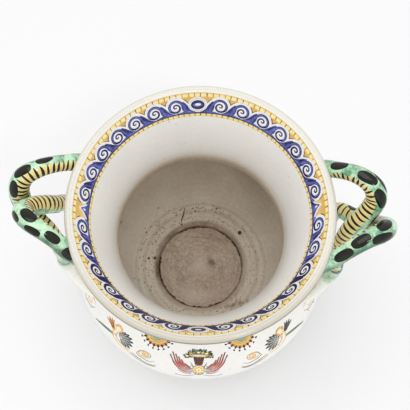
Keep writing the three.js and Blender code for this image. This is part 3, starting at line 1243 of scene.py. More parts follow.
@dataclass
class NeckCollar(ThrownPiece):
    """Flared neck with its rounded lip and the painted band inside the rim."""

    steps: int = 70
    lip_steps: int = 26
    skin_steps: int = 400
    lip_skin_steps: int = 60
    wear_depth: float = 10.0
    wear_reach: Point = (-0.5, 1.5)
    throat_soil: float = 0.22
    throat_reach: Point = (46.0, -4.0)
    edge_soil: float = 0.66
    edge_reach: Point = (24.0, -2.0)
    inside_slack: float = 0.2
    edge_line: Point = (1.8, 4.0)
    edge_columns: int = 5
    front_rise: float = 1.7
    front_span: Point = (0.2, 0.8)

    def build(self, glaze: Material, slot: str) -> None:
        """Turns the collar and dresses it; the lip's top is worn, and painted shade darkens the neck towards
        the throat.

        Args:
            glaze: Its finish.
            slot: The record's material slot.
        """
        f = self.form
        inside = f.neck_inside(np.linspace(0, 1, self.steps))
        lip = f.lip(self.lip_steps)[1:]
        outside = f.neck_outside(self.steps)[:-1]
        bottom = corners(
            outside[-1], (f.throat_outside, f.throat_level), (f.lap_radius, f.throat_level),
            (f.lap_radius, f.lap_level), (f.throat_radius, f.lap_level), (f.throat_radius, f.throat_level),
        )
        section = np.concatenate([inside, lip, outside, bottom])
        radius, level = section.T
        wear = smooth(level, f.rim_level - self.wear_depth, f.rim_level)
        wear = wear * smooth(radius - f.rim_radius, *self.wear_reach)
        within = (np.arange(len(section)) < self.steps) | (radius < f.throat_radius + self.inside_slack)
        above = level - f.throat_level
        # Painted shade: the neck darkens towards the throat, most steeply near its edge.
        soil = self.throat_soil * smooth(above, *self.throat_reach)
        soil = soil + self.edge_soil * smooth(above, *self.edge_reach)
        self.turn("neck_collar", section, True, (glaze, slot), soil=within * soil, wear=wear)

    def inner_skin(self) -> TurnedSkin:
        """Inside of the neck as a skin for painting."""
        return TurnedSkin(self.form.neck_inside(np.linspace(0, 1, self.skin_steps)), Facing.IN)

    def lip_skin(self) -> TurnedSkin:
        """Outer half of the lip as a skin for painting."""
        return TurnedSkin(self.form.lip(2 * self.lip_skin_steps)[self.lip_skin_steps:], Facing.OUT)

    def paint(self, brush: Brushwork) -> None:
        """Paints the thin olive line round the lip's outer edge; it lies a little higher at the front, where
        it also serves as painted shadow under the lip.

        Args:
            brush: The lip's brushwork.
        """
        azimuth = brush.circle()
        # At the front the line rises onto the lip's edge and stands in for the shadow under the lip as well.
        rise = self.front_rise * smooth(-np.sin(azimuth), *self.front_span)
        edges = (np.stack([azimuth, edge - rise], -1) for edge in self.edge_line)
        brush.lay(OLIVE, *edges, 0, self.edge_columns, True)


@dataclass
class BellyBowl(ThrownPiece):
    """Round belly with throwing rings and a soiled inside."""

    steps: int = 52
    path_steps: int = 900
    inner_steps: int = 126
    skin_steps: tuple[int, int] = (200, 300)
    ring_pitch: float = 9.5
    ring_height: float = 0.16
    ring_fade: Point = (30.0, 60.0)
    well_lap: float = 1.2
    well_gap: float = 0.05
    soil: float = 0.56
    edge_grime: float = 0.5
    edge_reach: Point = (3.0, 0.8)
    tides: tuple = (
        (69.0, 5.0, 0.36), (79.0, 1.8, 0.16), (87.0, 3.4, 0.22), (99.0, 2.6, 0.18), (106.0, 1.4, 0.10),
    )
    stains: tuple = (
        (-49.0, 79.0, 6.0, 3.0, 1.0), (-43.0, 84.0, 4.0, 3.0, 0.9), (-56.0, 75.0, 4.0, 2.2, 0.9),
        (-36.0, 89.0, 3.0, 2.0, 0.7), (188.0, 68.0, 26.0, 2.6, 1.0), (138.0, 68.5, 26.0, 3.0, 0.8),
        (88.0, 69.0, 30.0, 3.0, 0.6), (35.0, 68.0, 24.0, 1.8, 0.6), (62.0, 90.0, 12.0, 2.6, 0.3),
    )

    def outside(self) -> Array:
        """Outer section from the throat to the foot."""
        return np.concatenate([self.form.shoulder(self.steps), self.form.underside(self.steps)[1:]])

    def inside(self) -> Array:
        """Inner section from the dish to the throat, with the ripples that the fingers leave.

        Returns:
            Rows of radius and level.
        """
        f = self.form
        outer = self.outside()
        inner = outer - f.wall * left_of(outer)
        kept = (inner[:, 1] < f.lap_level - f.wall / 2) & (inner[:, 0] > f.throat_radius)
        kept &= inner[:, 1] > f.well_level + 2 * f.dish_rise
        line = inner[kept][::-1]
        edge = (f.well_radius + self.well_lap, f.well_level)
        dish = ((f.well_radius + line[0, 0]) / 2, f.well_level + f.dish_rise)
        line = np.vstack([edge, dish, line, (f.throat_radius, f.lap_level)])
        line = even(spline(line, self.path_steps), self.inner_steps)
        ripple = self.ring_height * np.sin(2 * math.pi * run_of(line) / self.ring_pitch)
        ripple *= smooth(f.throat_level - line[:, 1], *self.ring_fade)
        return line + ripple[:, None] * left_of(line)

    def build(self, glaze: Material, slot: str) -> None:
        """Turns the belly and dresses it; inside, an even tint of dirt and painted shade, with tides and
        stains on the lower wall.

        Args:
            glaze: Its finish.
            slot: The record's material slot.
        """
        f = self.form
        outer, inner = self.outside(), self.inside()
        well = f.well_radius + self.well_gap
        start = [(well, f.well_level - 1.0), (well + 0.35, f.well_level - 0.25)]
        bottom = corners(outer[-2], outer[-1], (well, f.foot_height), (well, f.well_level))
        seam = corners(
            inner[-2], (f.throat_radius, f.lap_level), (f.lap_radius, f.lap_level),
            (f.lap_radius, f.throat_level), (f.throat_outside, f.throat_level), outer[1],
        )[:-2]
        section = np.concatenate([outer[:-1], bottom, start, inner[:-1], seam])
        radius, level = section.T
        order = np.arange(len(section))
        within = (order >= len(outer) - 1 + len(bottom)) & (order < len(section) - len(seam))
        low_wall = within & (level < f.belly_level)
        tides = sum(high * np.exp(-((radius - at) / wide) ** 2) for at, wide, high in self.tides)
        # Inside: an even tint of dirt and painted shade, with tides of dirt on the lower wall.
        soil = within * (self.soil + tides * (level < f.belly_level))
        grime = low_wall * self.edge_grime * smooth(radius - f.well_radius, *self.edge_reach)
        grime = grime[:, None] + low_wall[:, None] * blots(radius, self.stains)
        self.turn("belly_bowl", section, True, (glaze, slot), soil=soil, grime=grime)

    def skin(self) -> TurnedSkin:
        """Outside of the belly as a skin for painting, measured up from the foot.

        Returns:
            The skin.
        """
        below, above = self.skin_steps
        line = np.concatenate([self.form.underside(below)[::-1], self.form.shoulder(above)[::-1][1:]])
        return TurnedSkin(line, Facing.OUT)

    def inner_skin(self) -> TurnedSkin:
        """Inside of the belly as a skin for painting, measured from the dish outwards."""
        return TurnedSkin(self.inside(), Facing.IN)


@dataclass
class FootRing(ThrownPiece):
    """Low foot with the floor disc that shows inside the vase."""

    core: float = 0.6
    floor_steps: int = 110
    under_steps: int = 24
    ring_steps: int = 60
    ring_pitch: float = 6.2
    ring_height: float = 0.10
    ring_fade: float = 6.0
    well_gap: float = 0.1
    edge_grime: float = 0.25
    edge_reach: Point = (2.6, 0.6)
    smudges: tuple = (
        (24.0, 18.0, 7.0, 5.0, 0.9), (13.0, 20.0, 5.0, 4.0, 0.5), (-150.0, 36.0, 14.0, 5.0, 0.2),
    )
    pale: tuple = ((160.0, 3.0, 12.0, 11.0, 0.15), (-92.0, 47.0, 36.0, 14.0, 0.18))

    def floor(self) -> Array:
        """Section of the floor disc from its edge to the middle, with the rings that throwing leaves.

        Returns:
            Rows of radius and level.
        """
        f = self.form
        edge = f.well_radius - self.well_gap
        disc = np.linspace(edge, self.core, self.floor_steps)
        ripple = self.ring_height * np.sin(2 * math.pi * disc / self.ring_pitch)
        ripple *= smooth(disc, edge, edge - self.ring_fade)
        return np.stack([disc, f.well_level - f.well_depth + ripple - self.ring_height], -1)

    def ring(self) -> Array:
        """Section of the foot's ring, from the recess under the vase round to the neck above the ring.

        Returns:
            Rows of radius and level.
        """
        f = self.form
        recess, foot, neck = f.foot_radius - f.foot_ring_width, f.foot_radius, f.foot_neck
        sole = recess + f.foot_ring_slope
        path = [
            (recess, f.foot_recess - 0.4), (recess + 0.6, f.foot_recess - 1.6), (recess + 2.4, 1.2),
            (sole, 0.25), (sole + 0.8, 0), (foot - 2.4, 0), (foot - 1.0, 0.5), (foot, 2.0), (foot, 4.0),
            (foot - 1.0, 5.8), (neck + 0.5, f.foot_height - 2.4), (neck, f.foot_height - 1.0),
            (neck, f.foot_height),
        ]
        under = np.linspace(self.core, recess - 1, self.under_steps)
        under = np.stack([under, np.full_like(under, f.foot_recess)], -1)
        return np.concatenate([under, np.maximum(spline(path, self.ring_steps), 0.0)[:-1]])

    def build(self, glaze: Material, slot: str) -> None:
        """Turns the foot and dresses it; the floor is soiled, most of all along its edge.

        Args:
            glaze: Its finish.
            slot: The record's material slot.
        """
        f = self.form
        floor = self.floor()
        edge, high = floor[0, 0], f.foot_height
        rise = corners((f.foot_neck, high - 1), (f.foot_neck, high), (edge, high), floor[0])
        section = np.concatenate([self.ring(), rise, floor])
        radius = section[:, 0]
        on_floor = np.arange(len(section)) >= len(section) - len(floor)
        soil = on_floor[:, None] * (1.0 - blots(radius, self.pale))
        grime = on_floor * self.edge_grime * smooth(edge - radius, *self.edge_reach)
        grime = grime[:, None] + on_floor[:, None] * blots(radius, self.smudges)
        self.turn("foot_ring", section, False, (glaze, slot), soil=soil, grime=grime)

    def floor_skin(self) -> TurnedSkin:
        """Floor disc as a skin for painting, measured from its edge inwards."""
        return TurnedSkin(self.floor(), Facing.UP)


# Serpents

class Side(Enum):
    """Handle that a serpent belongs to."""

    RIGHT = "right"
    LEFT = "left"


class Role(Enum):
    """Way that a serpent crosses the other one of its handle."""

    OVER = "over"
    UNDER = "under"


OVER_ARCH = (
    (-44, 55, -47, 13), (-25, 57, -32, 12), (-8, 53, -15, 10.6), (3, 46, -1, 9.6), (15, 39, 9, 9.8),
    (28, 31, 13, 10.6), (39, 21, 10, 11.6), (43, 12, 0, 12), (37, 2, -14, 11.8), (28, -6, -30, 11.3),
    (21, -13, -48, 10.8), (18, -22, -68, 10.2),
)
UNDER_ARCH = (
    (-42, -56, -47, 13), (-22, -58, -32, 12), (-5, -53.5, -16, 10.6), (7, -48, -6, 9.6), (20, -41, 3, 9.8),
    (33, -34, 7, 10.6), (46, -27, 4, 11.6), (54.5, -18, -9, 12), (55, -8, -32, 11.8), (45, 3, -53, 11.3),
    (32, 14, -66, 10.8), (23, 25, -79, 10.2),
)
LEG = ((-2.2, 33, 84, 9.6), (0.3, 35, 66, 9.4), (0.3, 37, 51, 9.1), (-2.5, 40.5, 38.5, 8.6))
TAIL = (
    (9.5, 45, 30, 7.9), (5.5, 53, 29.5, 6.9), (3, 61.5, 32.5, 5.7), (2, 69, 36.5, 4.4),
    (1.6, 75.5, 40.5, 2.8),
)
ARCHES = {Role.OVER: OVER_ARCH, Role.UNDER: UNDER_ARCH}
FOCUS_LEVEL = 320.0
FOCUS_REACH = 150.0
FOCUS_OFFSET = 20.0


@dataclass
class Serpent:
    """One coil of a handle, from its root under the lip over the arch to the tail on the shoulder."""

    side: Side
    role: Role
    seed: int
    belly_arch: float
    belly_leg: float
    spots: tuple
    form: VaseForm = FORM
    slim: float = 0.975
    path_steps: int = 700
    rows: int = 420
    columns: int = 60
    root_depth: float = 2.0
    root_run: Point = (-40.0, -4.0)
    near: Point = (9.0, 1.0)
    near_share: float = 0.9
    near_stride: int = 6
    tip_length: float = 3.0
    tip_overrun: float = 1.2
    tip_least: float = 0.02
    stripe_pitch: float = 5.7
    stripe_width: float = 2.4
    stripe_middle: float = 0.55
    thin_run: float = 20.0
    thin_share: float = 0.8
    longest: float = 400.0
    crest_run: float = 112.0
    leg_run: float = 160.0
    leg_spread: float = 0.3
    belly_edge: float = 12.0
    belly_end: float = 252.0
    belly_fade: float = 26.0
    tail_run: float = 288.0
    tail_fade: Point = (-30.0, 36.0)
    back_span: Point = (114.0, 162.0)
    spot_size: Point = (18.5, 12.0)
    spot_radius: float = 11.0
    spot_blunt: float = 0.72
    hidden_spots: tuple = (
        (40, -150), (66, -126), (92, -150), (118, -126), (143, -150), (168, -126), (194, -150),
        (220, -126), (245, -150), (156, 140), (180, 160), (226, 146), (252, 130),
    )

    @property
    def name(self) -> str:
        """Name of the serpent's CAD node."""
        return f"serpent_{self.side.value}_{self.role.value}"

    @property
    def away(self) -> float:
        """Way that the leg drops, which is also the side of the belly line where the back looks up."""
        return -1.0 if self.role is Role.OVER else 1.0

    def stations(self) -> Array:
        """Stations of the middle line with the coil radius, from the sizes of the solids.

        Returns:
            Rows of x, y, z and coil radius.
        """
        f = self.form
        arch = np.array(ARCHES[self.role]) + [f.lip_radius, 0, f.rim_level, 0]
        leg = np.array(LEG) * [1, self.away, 1, 1] + [f.belly_radius, 0, f.belly_level, 0]
        out, off, up, size = np.array(TAIL).T
        reach = f.shoulder_radius(f.belly_level + up) + out
        lie = np.stack([np.sqrt(reach**2 - off**2), self.away * off, f.belly_level + up, size], -1)
        return np.concatenate([arch, leg, lie])

    def skin(self) -> CoilSkin:
        """The coil's skin, turned half round the vase for the left handle, with slip round its root.

        Returns:
            The skin.
        """
        line = spline(self.stations(), self.path_steps)
        turn = np.array([-1, -1, 1]) if self.side is Side.LEFT else np.ones(3)
        focus = np.array([FOCUS_REACH, self.away * FOCUS_OFFSET, FOCUS_LEVEL])
        return CoilSkin(line[:, :3] * turn, line[:, 3] * self.slim, focus * turn, Slip(self.form))

    def start(self, skin: CoilSkin) -> float:
        """Distance along the coil where its middle line leaves the neck's wall."""
        reach = np.hypot(skin.centre[:, 0], skin.centre[:, 1]) - self.form.outer_radius(skin.centre[:, 2])
        return float(skin.run[np.argmax(reach > -self.root_depth)])

    def belly_half(self, along: Array) -> Array:
        """Half width of the belly in degrees: it widens from the arch to the leg, and then runs out.

        Args:
            along: Distances from the root.

        Returns:
            Degrees at each distance.
        """
        widen = smooth(along, self.crest_run, self.leg_run)
        half = self.belly_arch + (self.belly_leg - self.belly_arch) * widen
        return half * smooth(along, self.belly_end + self.belly_fade, self.belly_end)

    def closeness(self, points: Array, beside: CoilSkin) -> Array:
        """How close each point lies to the coil beside it: 1 at a touch, 0 from a few millimetres off.

        Args:
            points: Points of this coil.
            beside: Skin of the other coil.

        Returns:
            Shares per point.
        """
        centre = beside.centre[::self.near_stride]
        radius = beside.size[::self.near_stride]
        gap = np.linalg.norm(points[..., None, :] - centre, axis=-1) - radius
        return smooth(gap.min(-1), *self.near)

    def build(self, skin: CoilSkin, beside: CoilSkin, glaze: Material, slot: str) -> None:
        """Rolls the coil and dresses it, with painted shade at its root and by the coil beside it.

        Args:
            skin: The coil's own skin.
            beside: Skin of the coil that it crosses.
            glaze: Its finish.
            slot: The record's material slot.
        """
        run = np.linspace(0, skin.run[-1], self.rows)[:, None]
        turn = np.linspace(-math.pi, math.pi, self.columns, endpoint=False)[None, :]
        run, turn = np.broadcast_arrays(run, turn)
        left = (skin.run[-1] + self.tip_overrun - run) / self.tip_length
        tip = np.sqrt(np.clip(left, self.tip_least, 1))
        points, normals = skin.place(run, turn)
        points = points - normals * (skin.radius(run) * (1 - tip))[..., None]
        along = run - self.start(skin)
        half = self.belly_half(along)
        spread = np.degrees(np.abs(turn))
        near = self.near_share * self.closeness(points, beside)
        marks = {
            "belly": smooth(spread, half + self.belly_edge, half - self.belly_edge),
            # Painted shade under the lip at the root and where the other coil passes close.
            "root": np.maximum(smooth(-along, *self.root_run), near),
            "tail": smooth(along - self.tail_run, *self.tail_fade),
            "back": smooth(spread, *self.back_span),
        }
        middle = self.rows // 2
        corner = points[middle, 0]
        lean = np.cross(points[middle, 1] - corner, points[middle + 1, 0] - corner)
        pile = MeshPile()
        pile.add_tube(points, bool(np.dot(lean, normals[middle, 0]) < 0), False, marks)
        pile.build("glazed_" + self.name, glaze, slot, self.name)

    def stripe_places(self) -> Array:
        """Distances of the belly stripes from the root: their pitch grows from the arch to the leg.

        Returns:
            The distances, in order.
        """
        run = np.arange(self.longest)
        spread = 1 + self.leg_spread * smooth(run, self.crest_run, self.leg_run)
        share = np.cumsum(1 / (self.stripe_pitch * spread))
        return np.interp(np.arange(0.5, np.interp(self.belly_end, run, share)), share, run)

    def paint(self, skin: CoilSkin, palette: dict[Pigment, Material], slot: str) -> None:
        """Paints the belly stripes and the spots on the back, with a fine brush and full coats.

        Args:
            skin: The coil's skin.
            palette: Materials of the pigments.
            slot: The record's material slot.
        """
        brush = Brushwork(skin, self.seed, step=0.7, breadth=1.2, film=0.06, coat=0.04)
        hand = brush.hand
        begin = self.start(skin)
        for along in self.stripe_places():
            reach = math.radians(self.belly_half(along) + hand.uniform(2, 16)) * skin.radius(begin + along)
            place = (begin + along + hand.uniform(-0.4, 0.4), hand.uniform(-0.06, 0.06))
            lean = hand.uniform(-1.6, 1.6)
            wide = self.stripe_width * hand.uniform(0.85, 1.15)
            wide *= 1.0 if along < self.leg_run + self.thin_run else self.thin_share
            inner = self.stripe_middle * reach
            path = [(lean, -reach), (0, -inner), (0, inner), (-lean, reach)]
            Stencil(brush, place, angular=1).stroke(BLACK, path, [0.5, wide, wide, 0.5], 0)
        for along, angle, *shape in self.spots + self.hidden_spots:
            size = skin.radius(begin + along) / self.spot_radius
            long, wide = np.array(shape or (1.0, 1.0)) * self.spot_size * size
            at = Stencil(brush, (begin + along, self.away * math.radians(angle)), angular=1)
            at.dot(SPOT, (0, 0), long, wide, hand.uniform(-0.3, 0.3), 1, self.spot_blunt)
        brush.build(self.name, palette, slot)


# Painted band inside the rim

@dataclass
class RimBand:
    """Running wave scroll between two brick borders, inside the flared rim."""

    brush: Brushwork
    inner_radius: float = 126.0
    outer_radius: float = 141.0
    lip_gap: float = 0.4
    inner_border: float = 4.4
    outer_border: float = 6.8
    middle_rise: float = 0.6
    ground_lap: float = 0.2
    ground_columns: int = 20
    waves: int = 7
    wave_share: float = 0.12856
    roundels: Point = (93.0, 270.65)
    partings: Point = (181.7, 3.0)
    bricks: int = 120
    brick_share: float = 0.33
    mortar: float = 0.7
    shaded_front: float = -0.45
    wave: tuple = (
        (-12.0, -9.0, 5.6), (-10.2, -3.6, 5.0), (-8.6, 1.6, 4.2), (-5.3, 6.0, 3.6), (-0.3, 8.0, 3.3),
        (4.9, 6.2, 3.2), (7.7, 1.4, 3.2), (6.7, -4.4, 3.0), (2.3, -7.7, 2.8), (-2.4, -6.9, 2.6),
        (-4.7, -3.3, 2.4), (-3.9, 0.9, 2.3), (-0.9, 2.9, 2.2), (2.1, 1.8, 2.1), (2.4, -1.1, 2.0),
        (0.3, -2.0, 1.7), (-0.9, -0.6, 1.2),
    )

    def __post_init__(self) -> None:
        """Works out where the band starts and ends along the skin."""
        skin = self.brush.skin
        radii = skin.profile[:, 0]
        self.low = float(np.interp(self.inner_radius, radii, skin.run))
        self.high = float(np.interp(self.outer_radius, radii, skin.run)) - self.lip_gap
        self.base = self.low + self.inner_border
        self.crown = self.high - self.outer_border
        self.middle = (self.base + self.crown) / 2 + self.middle_rise

    def blue(self, turn: float) -> Pigment:
        """Blue of a motif: navy near the front, as painted shade, and cobalt elsewhere."""
        return NAVY if math.sin(turn) < self.shaded_front else COBALT

    def border(self, low: float, high: float) -> None:
        """Paints a brick border: pale cells on an ochre hoop, with thin dark ticks between some of them.

        Args:
            low: Distance along the skin where it starts.
            high: Distance where it ends.
        """
        brush = self.brush
        brush.hoop(OCHRE, low, high, 1, 4)
        hand = brush.hand
        step = 2 * math.pi / self.bricks
        tall = self.brick_share * (high - low)
        half = float(brush.skin.radius(low)) * step / 2
        for turn in np.arange(self.bricks) * step:
            at = Stencil(brush, (turn + hand.uniform(-0.004, 0.004), (low + high) / 2))
            end = half - self.mortar * hand.uniform(0.8, 1.3)
            at.fill(YELLOW, [(-end, -tall), (0, -tall - 0.3), (end, -tall)],
                    [(-end, tall), (0, tall + 0.3), (end, tall)], 2)
            dark = hand.uniform(0.2, 1.0)
            at.stroke(BROWN, [(half, -tall - 0.4), (half + 0.1, 0), (half, tall + 0.7)],
                      [0.2, 0.8 * dark, 0.9 * dark], 3)

    def scroll(self, turn: float, run: float) -> None:
        """Paints one wave whose crest curls forward in the running direction.

        Args:
            turn: Azimuth of the crest.
            run: 1 or -1, the way that the wave runs round the rim.
        """
        at = Stencil(self.brush, (turn, self.middle), (run, 1.0))
        foot = Stencil(self.brush, (turn, self.base), (run, 1.0))
        at.ring(BROWN, (0.2, 0.6), 12.4, 13.5, 14, 46, 1, 1.06)
        foot.stroke(BROWN, [(-18.0, 11.4), (-16.6, 13.6), (-13.8, 17.8), (-10.4, 21.4)],
                    [0.3, 0.9, 1.1, 0.8], 1)
        at.dot(WHITE, (0.2, 0.6), 24.8, 26.2, 0.0, 2)
        foot.fill(COBALT,
                  [(-25.6, 0.6), (-20.8, 3.0), (-17.4, 6.8), (-14.9, 11.2), (-12.6, 15.0), (-9.6, 18.4)],
                  [(-25.6, 0), (-16, 0), (-9.2, 3.0), (-6.9, 8.0), (-6.5, 13.0), (-5.6, 16.4)], 3)
        foot.fill(COBALT, [(-16, 0), (-6, 0), (3, 0), (13, 0)],
                  [(-12, 4.6), (-6.2, 3.0), (0.6, 2.4), (6.8, 4.2), (10.6, 7.4)], 4)
        foot.stroke(WHITE,
                    [(-25.4, 1.8), (-21.2, 4.2), (-18.0, 8.0), (-15.4, 12.6), (-12.6, 16.8), (-9.0, 20.6),
                     (-4.6, 23.4)],
                    [0.6, 2.1, 2.3, 2.3, 2.3, 2.2, 1.5], 5)
        crest = np.array(self.wave)
        blue = self.blue(turn)
        at.stroke(blue, crest[:, :2], crest[:, 2], 6)
        # Painted shade: waves near the front get an extra navy fill.
        if blue is NAVY:
            foot.fill(blue, [(-22, 1.6), (-16.4, 6.4), (-12.2, 13.0), (-9.0, 17.4)],
                      [(-17, 0.6), (-9.8, 4.4), (-7.6, 9.6), (-6.4, 15.4)], 5)
        at.stroke(NAVY, crest[7:, :2], 0.66 * crest[7:, 2], 7)
        at.stroke(NAVY, crest[2:9, :2] * 1.15, [0.3, 1.0, 1.2, 1.2, 1.2, 1.0, 0.3], 7)
        foot.stroke(NAVY, [(-24, 1.4), (-16, 5.0), (-12.4, 11.6), (-9.4, 17)], [0.2, 1.4, 1.6, 0.5], 4)

    def roundel(self, turn: float) -> None:
        """Paints the roundel where two runs of waves part: nested ovals of white, navy and blue.

        Args:
            turn: Its azimuth.
        """
        at = Stencil(self.brush, (turn, self.middle + 0.6))
        at.dot(WHITE, (0, 0), 23.0, 21.6, 0, 9)
        at.ring(SLATE, (0, 0), 9.4, 9.8, 0, 360, 10, 0.93)
        at.dot(NAVY, (0, 0), 16.6, 12.8, 0, 10)
        at.dot(self.blue(turn), (0, 0), 11.4, 7.6, 0, 11)
        at.dot(WHITE, (-0.2, 0.5), 7.0, 3.8, 0, 12)

    def parting(self, turn: float, run: float) -> None:
        """Paints the leaning wedge where two runs of waves meet.

        Args:
            turn: Its azimuth.
            run: 1 or -1, the way that it leans.
        """
        at = Stencil(self.brush, (turn, self.base), (run, 1.0))
        tall = self.crown - self.base
        at.fill(WHITE, [(-14, 0.2), (-9.2, 5.8), (-5.6, 12.4), (-3.0, 0.78 * tall)],
                [(20, 0.2), (9.6, 4.8), (2.4, 11.6), (-1.4, 0.78 * tall)], 3)
        at.fill(COBALT, [(-11.8, -0.2), (-7.6, 4.8), (-4.4, 10.4), (-2.9, 0.65 * tall)],
                [(16.5, -0.2), (7.4, 3.4), (1.0, 9.4), (-1.7, 0.65 * tall)], 8)
        at.stroke(WHITE, [(-1.6, 6.4), (-1.9, 9.0), (-2.2, 11.4)], [1.6, 2.0, 0.5], 9)

    def paint(self) -> None:
        """Paints the whole band: ground, borders, roundels, partings and the four runs of waves."""
        start = self.base - self.ground_lap
        self.brush.hoop(GOLD, start, self.crown + self.ground_lap, 0, self.ground_columns)
        self.border(self.low, self.base)
        self.border(self.crown, self.high)
        for first in self.roundels:
            for last in self.partings:
                span = (last - first + 180) % 360 - 180
                for k in range(1, self.waves + 1):
                    turn = math.radians(first + span * k * self.wave_share)
                    self.scroll(turn, np.sign(span))
            self.roundel(math.radians(first))
        for turn, run in zip(self.partings, (1, -1)):
            self.parting(math.radians(turn), run)
        self.brush.hoop(COBALT, start, self.base + 5.6, 1, 4)
        self.brush.hoop(NAVY, start, self.base + 0.9, 8, 3)


# Painted frieze on the shoulder

def spoke(angle: float, squash: float = 1.0) -> Array:
    """Direction at an angle in radians, with its height squashed."""
    return np.array([math.cos(angle), squash * math.sin(angle)])


@dataclass
class Frieze:
    """Grotesque ornament on the shoulder, mirrored about the front and repeated on the back."""

    brush: Brushwork
    front: float = math.radians(-89.2)
    basket_level: float = 153.0
    leaves: int = 110
    sun_turn: float = 22.6
    sun_level: float = 173.5
    sun_span: Point = (168.0, 372.0)
    sun_rings: tuple = (
        (YELLOW, 0.4, 17.2, 0), (LEAF, 0.4, 8.4, 1), (BROWN, 9.0, 9.5, 2),
        (ORANGE, 10.0, 16.8, 1), (GOLD, 11.4, 13.0, 2), (BROWN, 16.6, 17.1, 2),
    )
    creature_turn: float = 40.0
    creature_level: float = 145.0
    plumes: int = 8
    tufts: int = 14
    curl_angle: float = 2 * math.pi * 1.7
    curl_steps: int = 23
    curl_turn: float = 62.5
    curl_level: float = 145.0
    foliage: tuple = (GREEN, BLACK, GREEN, LEAF, SAGE)
    fruits: tuple = (
        (-14.6, 10.4, YELLOW), (-10.4, 14.6, ORANGE), (-5.4, 15.6, RED),
        (-0.4, 16.6, YELLOW), (4.8, 15.8, ORANGE), (10.0, 14.8, YELLOW),
        (14.6, 10.4, RED),
    )
    feathers: tuple = (
        ((8, -17), (20.5, -16), (30, -7), (35.8, 8.6)),
        ((9, -15.6), (19.6, -13.6), (27.6, -4.8), (32.6, 13.2)),
        ((9, -14.4), (18.4, -11.4), (25, -3.4), (28.8, 11)),
        ((9, -13.2), (17, -9.4), (22.4, -2.6), (25.2, 7.6)),
        ((9, -12), (15.4, -7.8), (19.6, -2.4), (21.6, 3.6)),
        ((9, -11), (13.4, -6.8), (16.8, -2.6)),
    )

    def stencil(self, turn: float, level: float, mirror: float, centre: float) -> Stencil:
        """Place of a motif at an angle in degrees from the frieze's centre, mirrored to its other half."""
        place = (centre + mirror * math.radians(turn), self.brush.skin.at_level(level))
        return Stencil(self.brush, place, (mirror, 1.0))

    def sun(self, at: Stencil) -> None:
        """Half sun: green heart, pale and orange rings, dark points and drops round its lower edge.

        Args:
            at: Its place.
        """
        start, end = self.sun_span
        for pigment, inner, outer, coat in self.sun_rings:
            at.ring(pigment, (0, 0), inner, outer, start, end, coat)
        for angle in np.radians(np.linspace(start + 9, end - 9, 11)):
            ray = spoke(angle)
            at.stroke(BROWN, [14.0 * ray, 16.6 * ray, 19.8 * ray], [0.4, 3.0, 0.5], 3)
        for angle in np.radians(np.linspace(start + 27, end - 27, 9)):
            at.dot(BLACK, 21.8 * spoke(angle), 3.2, 2.2, -angle, 1)

    def basket(self, at: Stencil) -> None:
        """Basket of fruit and leaves on a yellow rosette.

        Args:
            at: Its place.
        """
        at.fill(BROWN, [(-7.6, 11.4), (-6.0, 3.6), (-4.6, -3.4)],
                [(7.6, 11.4), (6.0, 3.6), (4.6, -3.4)], 1)
        for level, half in ((6.4, 5.2), (2.6, 4.4), (-0.8, 3.6)):
            for x in np.linspace(-half, half, 4):
                at.dot(RED, (x + 0.5 * math.sin(level), level), 1.2, 0.8, 0.4, 2)
        for x in np.linspace(-11, 11, 11):
            bead = (GOLD, ORANGE)[int(abs(x)) % 2]
            at.dot(bead, (x, 10.4 + 0.012 * x * x), 2.5, 2.0, 0.3, 6)
        at.stroke(GREEN, [(-15, 11.6), (-8, 15.2), (0, 16.4), (8, 15.2), (15, 11.6)],
                  [2, 5.2, 6.4, 5.2, 2], 0)
        for k in range(self.leaves):
            self.leaf(at, k)
        for x, y, pigment in self.fruits:
            at.dot(pigment, (x, y), 3.6, 3.0, 0.2, 5)
            at.dot(CREAM, (x - 0.6, y + 0.5), 1.2, 0.9, 0, 6)
        self.rosette(at, (0, -13.6))
        for side in ((-1, 1), (1, 1)):
            scroll = np.array([(4, -24), (13, -28), (23, -30), (31, -28.4), (27, -26.6)])
            at.stroke(SLATE, scroll * side, [0.8, 2.0, 1.8, 1.2, 0.5], 1)
            tie = np.array([(10, -1), (6.4, -9), (9, -17), (16, -23)])
            at.stroke(SLATE, tie * side, [0.4, 1.2, 1.4, 0.4], 5)
            edge = np.array([(10.4, 0.4), (7.6, -6), (7.2, -10)])
            at.stroke(BROWN, edge * side, [0.3, 0.8, 0.3], 6)

    def leaf(self, at: Stencil, k: int) -> None:
        """One leaf of the heap on the basket, thrown at random within its outline.

        Args:
            at: The basket's place.
            k: Its number, which picks its pigment and coat.
        """
        hand = at.brush.hand
        lean = math.pi * hand.uniform(-0.08, 1.08)
        reach = hand.uniform(0.45, 1.0)
        root = np.array([0.0, 10.4]) + reach * spoke(lean) * [17.0, 9.4]
        length = hand.uniform(2.6, 4.6)
        tip = root + length * np.array([math.cos(lean + hand.uniform(-0.7, 0.7)), math.sin(lean)])
        bend = 0.5 * (root + tip) + hand.uniform(-0.6, 0.6, 2)
        pigment = self.foliage[k % len(self.foliage)]
        at.stroke(pigment, [root, bend, tip], [0.7, hand.uniform(1.6, 2.8), 0.3], 1 + k % 4)

    def rosette(self, at: Stencil, centre: Point) -> None:
        """Round flower: a yellow disc, a ring of petals and a dark eye.

        Args:
            at: The basket's place.
            centre: Middle of the flower.
        """
        at.dot(BROWN, centre, 16.2, 19.2, 0, 4)
        at.dot(YELLOW, centre, 15.2, 18.2, 0, 5)
        for angle in np.radians(np.arange(0, 360, 45)):
            at.dot(ORANGE, centre + 4.9 * spoke(angle, 1.2), 3.4, 2.6, -angle, 6)
        at.dot(CREAM, centre, 5.0, 5.6, 0, 6)
        at.dot(BROWN, centre, 1.8, 1.8, 0, 7)

